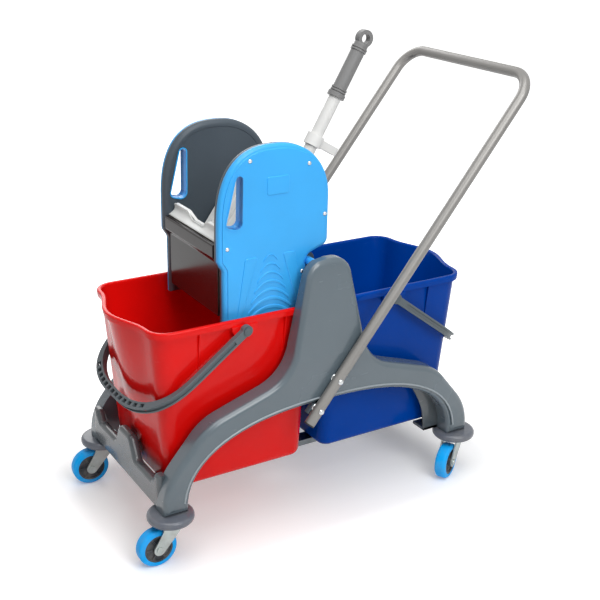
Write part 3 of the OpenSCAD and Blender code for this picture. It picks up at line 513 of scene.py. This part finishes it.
def close(grid, rings):
    """Faces between rings of corners and at both ends, all turned outwards."""
    bridge(grid, rings)
    grid.faces.new(rings[0])
    grid.faces.new(rings[-1])
    bmesh.ops.recalc_face_normals(grid, faces=grid.faces)


def quarter(steps):
    """Angles of a quarter turn in even steps."""
    return [math.pi / 2 * k / steps for k in range(steps + 1)]


def rounded_profile(low, high, low_edge, high_edge, steps):
    """Insets and levels of a slab's side wall with both edges rounded."""
    sign = 1 if high > low else -1
    turns = quarter(steps)
    lower = [(low_edge * (1 - math.sin(t)), low + sign * low_edge * (1 - math.cos(t))) for t in turns]
    upper = [(high_edge * (1 - math.cos(t)), high - sign * high_edge * (1 - math.sin(t))) for t in turns]
    return lower + upper


def slab(name, axis, loops, profile):
    """A moulding whose outlines follow a profile of insets and levels, closed at both ends."""
    across, up, along = AXES[axis]
    grid = bmesh.new()

    def spot(point, level):
        place = [0.0, 0.0, 0.0]
        place[across], place[up], place[along] = point[0], point[1], level
        return grid.verts.new(place)

    ends = {0: [], len(profile) - 1: []}
    for loop in loops:
        rings = []
        for step, (inset, level) in enumerate(profile):
            points = moved_in(loop, inset)
            rings.append([spot(p, level) for p in points])
            if step in ends:
                ends[step].append((points, rings[-1]))
        bridge(grid, rings)
    for cap in ends.values():
        verts = [v for _, ring in cap for v in ring]
        outlines = [[Vector((p[0], p[1], 0)) for p in points] for points, _ in cap]
        for triangle in tessellate_polygon(outlines):
            corners = [verts[i] for i in triangle]
            if len(set(corners)) == 3:
                grid.faces.new(corners)
    bmesh.ops.remove_doubles(grid, verts=grid.verts, dist=1e-6)
    bmesh.ops.recalc_face_normals(grid, faces=grid.faces)
    return as_mesh(grid, name)


def bead(name, points, radius):
    """A round bead along a path of points."""
    curve = bpy.data.curves.new(name, "CURVE")
    curve.dimensions = "3D"
    curve.bevel_depth = radius
    curve.bevel_resolution = 3
    curve.use_fill_caps = True
    spline = curve.splines.new("POLY")
    spline.points.add(len(points) - 1)
    for target, point in zip(spline.points, points):
        target.co = (*point, 1)
    holder = bpy.data.objects.new(name, curve)
    mesh = bpy.data.meshes.new_from_object(holder)
    mesh.name = name
    bpy.data.objects.remove(holder)
    bpy.data.curves.remove(curve)
    return mesh


def modify(thing, name, kind, **settings):
    """A modifier on an object, with its settings."""
    modifier = thing.modifiers.new(name, kind)
    for label, value in settings.items():
        setattr(modifier, label, value)


def carve(mesh, cutters):
    """A mesh with other meshes cut out of it."""
    things = [bpy.data.objects.new("carved", m) for m in (mesh, *cutters)]
    for thing in things:
        bpy.context.scene.collection.objects.link(thing)
    for tool in things[1:]:
        modify(things[0], "cut", "BOOLEAN", operation="DIFFERENCE", solver="EXACT", object=tool)
    bpy.context.view_layer.update()
    solved = things[0].evaluated_get(bpy.context.evaluated_depsgraph_get())
    result = bpy.data.meshes.new_from_object(solved)
    for thing in things:
        bpy.data.objects.remove(thing)
    result.name = mesh.name
    return result


def add_piece(mesh, name, material, replaces=(), body="chassis"):
    """A finished piece: shaded, dressed, riding on its body and standing for its nodes."""
    piece = bpy.data.objects.new(name, mesh)
    bpy.context.scene.collection.objects.link(piece)
    mesh.materials.clear()
    mesh.materials.append(material)
    mesh.shade_smooth()
    mesh.set_sharp_from_angle(angle=SHARP)
    modify(piece, "Weighted normals", "WEIGHTED_NORMAL", keep_sharp=True)
    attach(piece, body)
    if replaces:
        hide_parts(*replaces)
    return piece


@cache
def soft_shading():
    """A modifier group that joins a node's split corners and shades them smooth by their angle."""
    tree = bpy.data.node_groups.new("Soft Shading", "GeometryNodeTree")
    for way in ("INPUT", "OUTPUT"):
        tree.interface.new_socket("Geometry", in_out=way, socket_type="NodeSocketGeometry")
    start = tree.nodes.new("NodeGroupInput")
    merge = tree.nodes.new("GeometryNodeMergeByDistance")
    feed(tree, merge, {"Distance": FINE})
    forget = tree.nodes.new("GeometryNodeRemoveAttribute")
    feed(tree, forget, {"Name": "custom_normal"})
    smooth = tree.nodes.new("GeometryNodeSetShadeSmooth")
    smooth.domain = "FACE"
    edges = tree.nodes.new("GeometryNodeSetShadeSmooth")
    edges.domain = "EDGE"
    end = tree.nodes.new("NodeGroupOutput")
    chain = (start, merge, forget, smooth, edges, end)
    for one, following in zip(chain, chain[1:]):
        feed(tree, following, {"Geometry": one.outputs["Geometry"]})
    angle = tree.nodes.new("GeometryNodeInputMeshEdgeAngle")
    below = tree.nodes.new("FunctionNodeCompare")
    below.operation = "LESS_EQUAL"
    soft = feed(tree, below, {"A": angle.outputs["Unsigned Angle"], "B": SHARP})["Result"]
    feed(tree, edges, {"Shade Smooth": soft})
    return tree


def dress(nodes, material, edge=0.0):
    """A finish on nodes whose shape stays, with their edges softened by modifiers."""
    for name in nodes:
        node = NODES[name]
        node.data.materials.clear()
        node.data.materials.append(material)
        modify(node, "Join corners", "NODES", node_group=soft_shading())
        if edge:
            modify(node, "Join flats", "DECIMATE", decimate_type="DISSOLVE", angle_limit=math.radians(0.5))
            modify(
                node, "Soft edges", "BEVEL", limit_method="ANGLE", angle_limit=SHARP,
                width=edge, segments=2, use_clamp_overlap=True,
            )
            modify(node, "Smooth by angle", "NODES", node_group=soft_shading())
            modify(node, "Weighted normals", "WEIGHTED_NORMAL", keep_sharp=True)


# Operators

POCKET_DEPTH = 14.5 * MM
LUG_DEPTH = 12 * MM
PIN_FROM = 140 * MM  # a hanger pin's shank lies beyond this Y
PIN_ROOM = 0.6 * MM  # beside and over the shank
PIN_BELOW = 2 * MM  # reach of the solids' slot below the shank
MOUTH_DEPTH = 2 * MM  # of the groove over the pin's seat


class TROLLEY_OT_side_panels(bpy.types.Operator):
    """Round the two side panels, hollow their backs and run a lip along their arches"""
    bl_idname = "trolley.side_panels"
    bl_label = "Side Panels"

    def execute(self, context):
        look = context.scene.trolley_chassis
        grey = chassis_plastic("Chassis grey", look.grey)
        # The arch lip takes a lighter copy of the chassis grey, which paints a highlight along it
        lip_highlight = plastic("Rubbed grey", look.lip_highlight, 0.2, shine=0.5, coat=0.35)
        for side in SIDES:
            node = side + "_side_panel"
            inner, outer, out = faces(node, side)
            outline = self.closed_outline(node, inner)
            profile = rounded_profile(inner, outer, 0.4 * MM, look.panel_edge, 6)
            mesh = slab(node, "y", [outline], profile)
            self.lean(mesh, node, inner, outer)
            arch = arch_line(outline, look.lip_up)
            below = arch_line(outline, -look.lip_up)
            step = outer - out * look.flange_drop
            flange = slab("flange", "y", [below + arch[::-1]], [(0, step), (0, 1.1 * outer)])
            mesh = carve(mesh, [*self.hollows(node, inner, out), flange])
            add_piece(mesh, side + "_panel_moulding", grey, [node])
            lip = bead(side + "_arch_lip", [(x, outer, z) for x, z in arch], look.lip_width / 2)
            add_piece(lip, side + "_arch_lip", lip_highlight)
            self.lug(side, node, outer, out, grey)
        return {"FINISHED"}

    def closed_outline(self, node, inner):
        """The outline of a panel's back, with the slot for the hanger pin closed."""
        low, high = self.pin_slot()
        return [
            p for p in face_loops(node, "y", inner)[0]
            if not (low[0] < p[0] < high[0] and low[1] < p[1] < high[1])
        ]

    def pin_slot(self):
        """The span of a hanger pin's slot in X and Z, from the shank beside the pin's head."""
        shank = [v.co for v in NODES["hanger_pins"].data.vertices if v.co.y > PIN_FROM]
        xs = [c.x for c in shank]
        zs = [c.z for c in shank]
        return (min(xs) - PIN_ROOM, min(zs) - PIN_BELOW), (max(xs) + PIN_ROOM, max(zs))

    def lean(self, mesh, node, inner, outer):
        """Lean the outer face of the tower in, as far as the node's own tower leans."""
        corners = [v.co for v in NODES[node].data.vertices]
        top = max(c.z for c in corners)
        bend = max(c.z for c in corners if abs(c.y - outer) < FLAT)
        head = max(abs(c.y - inner) for c in corners if c.z > top - 2 * MM)
        grid = bmesh.new()
        grid.from_mesh(mesh)
        for height in (bend, (bend + top) / 2):
            everything = grid.verts[:] + grid.edges[:] + grid.faces[:]
            bmesh.ops.bisect_plane(grid, geom=everything, plane_co=(0, 0, height), plane_no=(0, 0, 1))
        for vert in grid.verts:
            rise = max(0.0, (vert.co.z - bend) / (top - bend))
            vert.co.y = inner + (vert.co.y - inner) * (1 - rise * (1 - head / abs(outer - inner)))
        grid.to_mesh(mesh)
        grid.free()

    def lug(self, side, node, outer, out, finish):
        """The tongue under the handle's lower end, which reaches below the arch."""
        face = outer - out * step_below(node, outer)
        profile = rounded_profile(face - out * LUG_DEPTH, face, MM, MM, 3)
        for count, loop in enumerate(face_loops(node, "y", face)):
            mesh = slab("lug", "y", [loop], profile)
            add_piece(mesh, f"{side}_handle_lug_{count}", finish)

    def hollows(self, node, inner, out):
        """Cutters for the pockets in a panel's back, a hanger pin's seat and the mouth over it."""
        start = inner - out * MM
        deep = inner + out * POCKET_DEPTH
        pockets = face_loops(node, "y", inner)[1:]
        cutters = [slab("pocket", "y", [loop], [(0, start), (0, deep)]) for loop in pockets]
        low, high = self.pin_slot()
        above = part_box(node)[1].z + 10 * MM
        mouth = inner + out * MOUTH_DEPTH
        floor = low[1] + PIN_BELOW
        for end, roof in ((deep, high[1] + PIN_ROOM), (mouth, above)):
            loop = [(low[0], floor), (high[0], floor), (high[0], roof), (low[0], roof)]
            cutters.append(slab("seat", "y", [loop], [(0, start), (0, end)]))
        return cutters


WING_WALL = 5 * MM
WING_STEP = 6 * MM  # between the points of a wing's free edge, and the height of its foot


class TROLLEY_OT_frame_parts(bpy.types.Operator):
    """Round the end panels, add the rear one's wings and finish the beam, the rails and the crossbar"""
    bl_idname = "trolley.frame_parts"
    bl_label = "End Panels and Rails"

    def execute(self, context):
        look = context.scene.trolley_chassis
        # A darker copy of the chassis grey: painted shade on the end panels and the rear wings
        grey = chassis_plastic("End panel grey", look.end)
        for end in ("front", "rear"):
            node = end + "_end_panel"
            low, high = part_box(node)
            outer, inner = (low.x, high.x) if end == "front" else (high.x, low.x)
            outline = self.lengthened(face_loops(node, "x", outer)[0], look.end_edge + 2 * MM)
            flush = outer - math.copysign(0.2 * MM, outer)
            profile = rounded_profile(inner, flush, look.end_edge, look.end_edge, 4)
            mesh = slab(node, "x", [outline], profile)
            add_piece(mesh, end + "_end_moulding", grey, [node])
        for side in SIDES:
            # The wings take the same darker grey, painted shade under the arch
            add_piece(self.wing(side, look), side + "_rear_wing", grey)
        # The beam's dark grey paints shade where it shows between the buckets
        dress(["centre_beam"], plastic("Beam grey", look.beam, 0.5, dust=0.2), 1 * MM)
        dress(["base_rails", "tower_crossbar"], metal("Bar steel", look.steel, 0.32), 0.4 * MM)
        return {"FINISHED"}

    def wing(self, side, look):
        """A wing of the rear end panel, beside the blue bucket under the arch, its foot turned in."""
        node = side + "_side_panel"
        inner, _, out = faces(node, side)
        low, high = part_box(node)
        arch = arch_line(face_loops(node, "y", inner)[0], look.panel_edge)
        foot = low.z + MM
        edge = []
        for rise in (k * WING_STEP for k in range(40)):
            x = high.x - look.wing_reach - look.wing_sweep * (rise / (100 * MM)) ** 2
            edge.append((x, foot + rise))
            if foot + rise > next(z for at, z in arch if at > x):
                break
        corner = (arch[-1][0], foot)
        outline = edge + [p for p in arch if p[0] > edge[-1][0] and p[1] > foot] + [corner]
        sole = [edge[0], corner, (corner[0], foot + WING_STEP), edge[1]]
        grid = bmesh.new()
        for loop, reach in ((outline, WING_WALL), (sole, look.wing_foot)):
            profile = rounded_profile(inner, inner - out * reach, 0.3 * MM, 0.8 * MM, 2)
            grid.from_mesh(slab("wing", "y", [anticlockwise(loop)], profile))
        return as_mesh(grid, side + "_rear_wing")

    def lengthened(self, outline, extra):
        """An outline whose ends reach into the side panels, to leave no groove."""
        low = min(outline)[0] + 0.1 * MM
        high = max(outline)[0] - 0.1 * MM
        return [(y + extra * ((y > high) - (y < low)), z) for y, z in outline]


class TROLLEY_OT_buckets(bpy.types.Operator):
    """Finish the red and the blue bucket"""
    bl_idname = "trolley.buckets"
    bl_label = "Buckets"

    def execute(self, context):
        look = context.scene.trolley_buckets
        for tone, base, gloss in (("red", look.red, look.red_gloss), ("blue", look.blue, look.blue_gloss)):
            finish = plastic(tone + " bucket plastic", base, 0.13, grain=260, depth=0.00001, shine=gloss)
            dress([tone + "_bucket"], finish)
        return {"FINISHED"}


class TROLLEY_OT_bails(bpy.types.Operator):
    """Soften the edges of the bails and finish them and their pins"""
    bl_idname = "trolley.bails"
    bl_label = "Bails"

    def execute(self, context):
        look = context.scene.trolley_buckets
        dress(["red_bail", "blue_bail"], plastic("Bail grey", look.bail, 0.38), look.bail_edge)
        dress(["red_bail_pins", "blue_bail_pins"], plastic("Pin grey", look.pin, 0.4), 0.6 * MM)
        return {"FINISHED"}


# A washer's radii and heights in millimetres
WASHER = ((9, 0), (9, 1.2), (8, 2.4), (4, 2.8))
WASHER_STEPS = 32
BOLT_GAP = 6 * MM  # corners further apart are on different bolts


class TROLLEY_OT_push_handle(bpy.types.Operator):
    """Finish the push handle with its plugs, bolts and washers"""
    bl_idname = "trolley.push_handle"
    bl_label = "Push Handle"

    def execute(self, context):
        look = context.scene.trolley_handles
        dress(["push_handle"], paint("Handle paint", look.tube, 0.4, 0.2, 0.4))
        dress(["handle_plugs"], plastic("Plug black", look.plug, 0.5), 0.6 * MM)
        chrome = metal("Bolt chrome", look.bolt, 0.2)
        dress(["handle_bolts"], chrome)
        for count, place in enumerate(self.bolt_places()):
            add_piece(self.washer(place), f"saddle_washer_{count}", chrome)
        return {"FINISHED"}

    def washer(self, place):
        """A turned washer that stands on its place along local Z."""
        grid = bmesh.new()
        turns = [2 * math.pi * k / WASHER_STEPS for k in range(WASHER_STEPS)]
        rings = []
        for radius, height in WASHER:
            spots = [(radius * MM * math.cos(t), radius * MM * math.sin(t), height * MM) for t in turns]
            rings.append([grid.verts.new(s) for s in spots])
        close(grid, rings)
        grid.transform(place)
        return as_mesh(grid, "saddle_washer")

    def bolt_places(self):
        """Where each bolt meets its side panel, with local Z pointing outwards."""
        corners = [v.co for v in NODES["handle_bolts"].data.vertices]
        places = []
        for side in SIDES:
            _, face, out = faces(side + "_side_panel", side)
            heads = sorted((c for c in corners if c.y * out > abs(face)), key=lambda c: c.x)
            bolts = [heads[:1]]
            for corner in heads[1:]:
                if corner.x - bolts[-1][-1].x > BOLT_GAP:
                    bolts.append([])
                bolts[-1].append(corner)
            for bolt in bolts:
                x = (min(c.x for c in bolt) + max(c.x for c in bolt)) / 2
                z = (min(c.z for c in bolt) + max(c.z for c in bolt)) / 2
                outwards = Matrix.Rotation(math.radians(90) * -out, 4, "X")
                places.append(Matrix.Translation((x, face, z)) @ outwards)
        return places


RIB_SPAN = (0.44, 0.88)  # start and end of a rib, in shares of the hub's radius
RIB_LEVELS = ((4 * MM, 1.6 * MM), (0.8 * MM, 1.0 * MM))  # depth below the hub's lip and half width


class TROLLEY_OT_casters(bpy.types.Operator):
    """Finish the casters and give their hubs ribs"""
    bl_idname = "trolley.casters"
    bl_label = "Casters"

    def execute(self, context):
        look = context.scene.trolley_casters
        zinc = metal("Zinc plate", look.zinc, 0.36, 240, dust=0.3)
        tyre = plastic("Tyre blue", look.tyre, 0.45, grain=500, depth=0.00012, shine=0.2, dust=0.12)
        hub = plastic("Hub grey", look.hub, 0.42, dust=0.25)
        dress(["caster_bumpers"], plastic("Bumper rubber", look.bumper, 0.3, coat=0.25, dust=0.2))
        dress(["caster_stems", "caster_races"], zinc, 0.4 * MM)
        for corner in CORNERS:
            dress(["fork_" + corner, "axle_" + corner], zinc, 0.8 * MM)
            dress(["hub_" + corner], hub, 0.5 * MM)
            dress(["tyre_" + corner], tyre)
            ribs = self.ribs(corner, look.ribs)
            add_piece(ribs, "hub_ribs_" + corner, hub, body="wheel_" + corner)
        return {"FINISHED"}

    def ribs(self, corner, count):
        """Spokes on both faces of a hub, between its boss and its rim."""
        joint = JOINTS["roll_" + corner]
        middle = Vector(joint["pos_m"])
        axis = Vector(joint["axis"]).normalized()
        spots = []
        for vert in NODES["hub_" + corner].data.vertices:
            along = (vert.co - middle).dot(axis)
            spots.append((along, (vert.co - middle - along * axis).length))
        reach = max(radius for _, radius in spots)
        lip = max(along for along, radius in spots if radius > 0.95 * reach)
        place = Matrix.Translation(middle) @ axis.to_track_quat("Z", "Y").to_matrix().to_4x4()
        grid = bmesh.new()
        for face in (-1, 1):
            for k in range(count):
                spun = Matrix.Rotation(2 * math.pi * k / count, 4, "Z")
                self.rib(grid, place @ spun, reach, lip, face)
        return as_mesh(grid, "hub_ribs_" + corner)

    def rib(self, grid, place, reach, lip, face):
        """One spoke, narrower at its top than at its foot."""
        start, end = (part * reach for part in RIB_SPAN)
        rings = []
        for depth, half in RIB_LEVELS:
            plan = ((start, -half), (end, -half), (end, half), (start, half))
            spots = [place @ Vector((x, y, face * (lip - depth))) for x, y in plan]
            rings.append([grid.verts.new(s) for s in spots])
        close(grid, rings)


COVER_WALL = 3 * MM  # upright part of a cover's edge, next to the inner plate
COLLAR = 2.2 * MM  # thickness of the collar in a finger slot
COLLAR_UP = 1.2 * MM  # how far it stands out of the cover's face
RELIEF_EDGE = 1.5 * MM


class TROLLEY_OT_covers(bpy.types.Operator):
    """Build the wringer's side covers and inner plates with their rounded, stepped edges"""
    bl_idname = "trolley.covers"
    bl_label = "Covers and Plates"

    def execute(self, context):
        look = context.scene.trolley_wringer
        blue = plastic("Cover blue", look.cover, 0.36, grain=500, depth=0.00006, coat=0.15)
        grey = plastic("Plate grey", look.plate, 0.4, grain=600, depth=0.00008)
        for side in SIDES:
            self.cover(side, look, blue)
            self.plate(side, look, grey)
        dress(["cover_screws"], metal("Screw steel", look.screw, 0.22))
        return {"FINISHED"}

    def cover(self, side, look, finish):
        """A cover over its plate's edge, the collar in its finger slot and its raised forms."""
        node = side + "_cover"
        _, crest, out = faces(node, side)
        plate_face, back, _ = faces(side + "_inner_plate", side)
        face = crest - out * step_below(node, crest)
        loops = face_loops(node, "y", face)
        slot = slot_loop(loops, side)
        mesh = slab(node, "y", [loops[0]], self.cover_profile(look, back, face, out))
        throat = slab("throat", "y", [slot], [(0, crest + out * 10 * MM), (0, back - out * 50 * MM)])
        add_piece(carve(mesh, [throat]), side + "_cover_moulding", finish, [node])
        rings = [slot[::-1], moved_in(slot[::-1], COLLAR)[::-1]]
        collar = slab("lining", "y", rings, [(0, face + out * COLLAR_UP), (0, plate_face)])
        add_piece(collar, side + "_slot_collar", finish)
        profile = rounded_profile(face - out * 0.4 * MM, crest, 0.0, RELIEF_EDGE, 3)
        for count, loop in enumerate(face_loops(node, "y", crest)):
            raised = slab("raised", "y", [loop], profile)
            add_piece(raised, f"{side}_cover_relief_{count}", finish)

    def cover_profile(self, look, back, face, out):
        """A cover's edge from its back: an upright wall, a round shoulder, the border and the step."""
        step = face - out * look.border_drop
        wall = back + out * COVER_WALL
        rise = abs(step - wall)
        reach = look.border
        profile = [(0.2 * MM, back), (0.0, back + out * 0.3 * MM), (0.0, wall)]
        for t in quarter(5)[1:]:
            profile.append(((reach - MM) * (1 - math.cos(t)), wall + out * rise * math.sin(t)))
        profile += [(reach, step), (reach + 0.6 * MM, step + out * 0.4 * MM)]
        profile += [(reach + 1.0 * MM, face - out * 0.5 * MM), (reach + 1.8 * MM, face)]
        return profile

    def plate(self, side, look, finish):
        """An inner plate with a raised band along its rounded edge."""
        node = side + "_inner_plate"
        inner, outer, out = faces(node, side)
        loops = face_loops(node, "y", inner)
        slot = slot_loop(loops, side)
        profile = rounded_profile(outer, inner, 1.0 * MM, look.plate_edge, 5)
        profile += [(look.band, inner), (look.band + 0.6 * MM, inner + out * look.band_drop * 0.4)]
        profile += [(look.band + 1.2 * MM, inner + out * look.band_drop)]
        mesh = slab(node, "y", [loops[0]], profile)
        throat = slab("throat", "y", [slot], [(0, inner - out * 10 * MM), (0, outer + out * 10 * MM)])
        add_piece(carve(mesh, [throat]), side + "_plate_moulding", finish, [node])


LIP_STEPS = 10
LIP_WALL = 2 * MM


class TROLLEY_OT_press(bpy.types.Operator):
    """Finish the walls, the drain floor and the jaws of the wringer"""
    bl_idname = "trolley.press"
    bl_label = "Walls and Jaws"

    def execute(self, context):
        look = context.scene.trolley_wringer
        wall = plastic("Wall brown", look.wall, 0.2, grain=300, coat=0.1)
        white = plastic("Jaw white", look.white, 0.4)
        dress(["wringer_front_wall"], wall, 1.5 * MM)
        dress(["wringer_rear_wall", "lever_hub"], plastic("Hub plate grey", look.plate, 0.42), 1 * MM)
        dress(["drain_floor", "front_jaw", "moving_jaw"], white, 1 * MM)
        dress(["hanger_pins"], plastic("Pin blue", look.cover, 0.4), 0.8 * MM)
        dress(["press_shaft"], metal("Shaft steel", look.screw, 0.28), 0.5 * MM)
        self.lip(look, white)
        return {"FINISHED"}

    def lip(self, look, finish):
        """A curved lip that falls from the fixed jaw's top edge on to the front wall's ledge."""
        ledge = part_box("wringer_front_wall")[1]
        crest = {}
        for vert in NODES["front_jaw"].data.vertices:
            y = round(vert.co.y, 4)
            if y not in crest or vert.co.z > crest[y].z:
                crest[y] = vert.co
        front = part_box("front_jaw")[0].x
        landing = ledge.x - look.lip_landing
        grid = bmesh.new()
        rows = []
        for s in (k / LIP_STEPS for k in range(LIP_STEPS + 1)):
            hollow = look.lip_hollow * math.sin(math.pi * min(1.0, s / 0.75))
            x = front + hollow + (landing - front) * s ** 4
            row = []
            for y in sorted(crest):
                top = crest[y].z
                row.append(grid.verts.new((x, y, top + (ledge.z + 0.3 * MM - top) * s)))
            rows.append(row)
        for above, below in zip(rows, rows[1:]):
            for i in range(len(above) - 1):
                grid.faces.new((above[i], below[i], below[i + 1], above[i + 1]))
        piece = add_piece(as_mesh(grid, "jaw_lip"), "jaw_lip", finish)
        modify(piece, "Wall", "SOLIDIFY", thickness=LIP_WALL, offset=-1)


class TROLLEY_OT_lever(bpy.types.Operator):
    """Finish the press lever with its grip and clip"""
    bl_idname = "trolley.lever"
    bl_label = "Press Lever"

    def execute(self, context):
        look = context.scene.trolley_handles
        dress(["lever_tube"], paint("Lever paint", look.lever, 0.3, 0.3))
        dress(["lever_grip"], plastic("Grip grey", look.grip, 0.42, grain=800, depth=0.0001), 0.8 * MM)
        dress(["lever_clip"], plastic("Clip white", look.clip, 0.4), 1 * MM)
        return {"FINISHED"}


# Name, power setting, width and place in metres of each light
LIGHTS = (
    ("Key light", "key_power", 1.6, (0.1, -2.6, 2.2)),
    ("Top light", "top_power", 2.2, (-0.4, -0.7, 2.9)),
    ("Back light", "back_power", 1.8, (0.5, 2.6, 1.9)),
)
LIGHTS_AIM = Vector((0, 0, 0.4))
FLOOR_HALF = 20
WHITE = (1, 1, 1, 1)


class TROLLEY_OT_stage(bpy.types.Operator):
    """Lay the floor, set the lights and the world, and place the camera"""
    bl_idname = "trolley.stage"
    bl_label = "Stage"

    def execute(self, context):
        look = context.scene.trolley_stage
        context.scene.view_settings.view_transform = "Standard"
        self.floor(context, look)
        self.world(context, look)
        for name, setting, size, place in LIGHTS:
            self.light(context, name, getattr(look, setting), size, place)
        self.camera(context, look)
        return {"FINISHED"}

    def floor(self, context, look):
        """A floor that is plain white away from the trolley and keeps its shadow near it."""
        grid = bmesh.new()
        bmesh.ops.create_grid(grid, x_segments=8, y_segments=8, size=FLOOR_HALF)
        mesh = as_mesh(grid, "floor")
        floor = bpy.data.objects.new("floor", mesh)
        context.scene.collection.objects.link(floor)
        material, tree, shader, place = start_material("Floor white")
        surface = place(moulded_group(), Grain=60.0)
        tone = mix_colour(tree, surface["Tone"], tinted(look.floor, 0.99), look.floor)
        feed(tree, shader, {"Base Color": tone, "Roughness": 0.9, "Specular IOR Level": 0.1})
        fade = remap(tree, self.distance(tree), 0.0, look.shade_reach, look.shade_glow, 1.0)
        strength = maths(tree, "MULTIPLY", fade, self.seen(tree, look.mirror_glow))
        glow = tree.nodes.new("ShaderNodeEmission")
        feed(tree, glow, {"Color": WHITE, "Strength": strength})
        both = tree.nodes.new("ShaderNodeAddShader")
        feed(tree, both, {0: shader.outputs["BSDF"], 1: glow.outputs["Emission"]})
        feed(tree, tree.nodes["Material Output"], {"Surface": both.outputs["Shader"]})
        material.cycles.emission_sampling = "NONE"
        mesh.materials.append(material)

    def seen(self, tree, mirrored):
        """One for camera rays, a share of that for reflections, and nothing for other rays."""
        rays = tree.nodes.new("ShaderNodeLightPath").outputs
        bounced = maths(tree, "MAXIMUM", rays["Is Glossy Ray"], rays["Is Transmission Ray"])
        bounced = maths(tree, "MULTIPLY", bounced, mirrored)
        return maths(tree, "MAXIMUM", rays["Is Camera Ray"], bounced)

    def distance(self, tree):
        """How far a point of the floor lies outside the trolley's own plan."""
        point = tree.nodes.new("ShaderNodeTexCoord").outputs["Object"]
        half = (CAD_BOX[1] - CAD_BOX[0]) / 2
        plan = (half.x, half.y, 0)
        nothing = (0, 0, 0)
        steps = (("ABSOLUTE", nothing), ("SUBTRACT", plan), ("MAXIMUM", nothing), ("LENGTH", nothing))
        for operation, other in steps:
            step = tree.nodes.new("ShaderNodeVectorMath")
            step.operation = operation
            point = feed(tree, step, {0: point, 1: other})[0]
        return step.outputs["Value"]

    def world(self, context, look):
        """A world that looks white and lights the trolley only a little."""
        world = bpy.data.worlds.new("Studio")
        world.use_nodes = True
        tree = world.node_tree
        strength = remap(tree, self.seen(tree, 1.0), 0.0, 1.0, look.sky, 1.0)
        feed(tree, tree.nodes["Background"], {"Color": WHITE, "Strength": strength})
        context.scene.world = world

    def light(self, context, name, watts, size, place):
        lamp = bpy.data.lights.new(name, "AREA")
        lamp.energy = watts
        lamp.size = size
        holder = bpy.data.objects.new(name, lamp)
        holder.location = place
        holder.rotation_euler = (LIGHTS_AIM - Vector(place)).to_track_quat("-Z", "Y").to_euler()
        context.scene.collection.objects.link(holder)

    def camera(self, context, look):
        """A camera from the place and the three angles of the view."""
        data = bpy.data.cameras.new("Camera")
        data.lens = look.lens
        camera = bpy.data.objects.new("Camera", data)
        facing = Matrix.Rotation(-look.yaw, 4, "Z") @ Matrix.Rotation(math.pi / 2 - look.pitch, 4, "X")
        camera.matrix_world = Matrix.Translation(look.eye) @ facing @ Matrix.Rotation(look.roll, 4, "Z")
        context.scene.collection.objects.link(camera)
        context.scene.camera = camera


BUILD = (
    TROLLEY_OT_stage, TROLLEY_OT_side_panels, TROLLEY_OT_frame_parts, TROLLEY_OT_buckets, TROLLEY_OT_bails,
    TROLLEY_OT_push_handle, TROLLEY_OT_casters, TROLLEY_OT_covers, TROLLEY_OT_press, TROLLEY_OT_lever,
)


class TROLLEY_PT_build(bpy.types.Panel):
    """The trolley's build steps and settings"""
    bl_label = "Mop Bucket Trolley"
    bl_idname = "TROLLEY_PT_build"
    bl_space_type = "VIEW_3D"
    bl_region_type = "UI"
    bl_category = "Trolley"

    def draw(self, context):
        for step in BUILD:
            self.layout.operator(step.bl_idname)
        for name, kind in LOOKS.items():
            box = self.layout.box()
            settings = getattr(context.scene, name)
            for label in kind.__annotations__:
                box.prop(settings, label)


CLASSES = (*LOOKS.values(), *BUILD, TROLLEY_PT_build)


def register():
    for kind in CLASSES:
        bpy.utils.register_class(kind)
    for name, kind in LOOKS.items():
        setattr(bpy.types.Scene, name, PointerProperty(type=kind))


def unregister():
    for name in LOOKS:
        delattr(bpy.types.Scene, name)
    for kind in reversed(CLASSES):
        bpy.utils.unregister_class(kind)


def main():
    register()
    for step in BUILD:
        family, name = step.bl_idname.split(".")
        getattr(getattr(bpy.ops, family), name)()


if __name__ == "__main__":
    main()
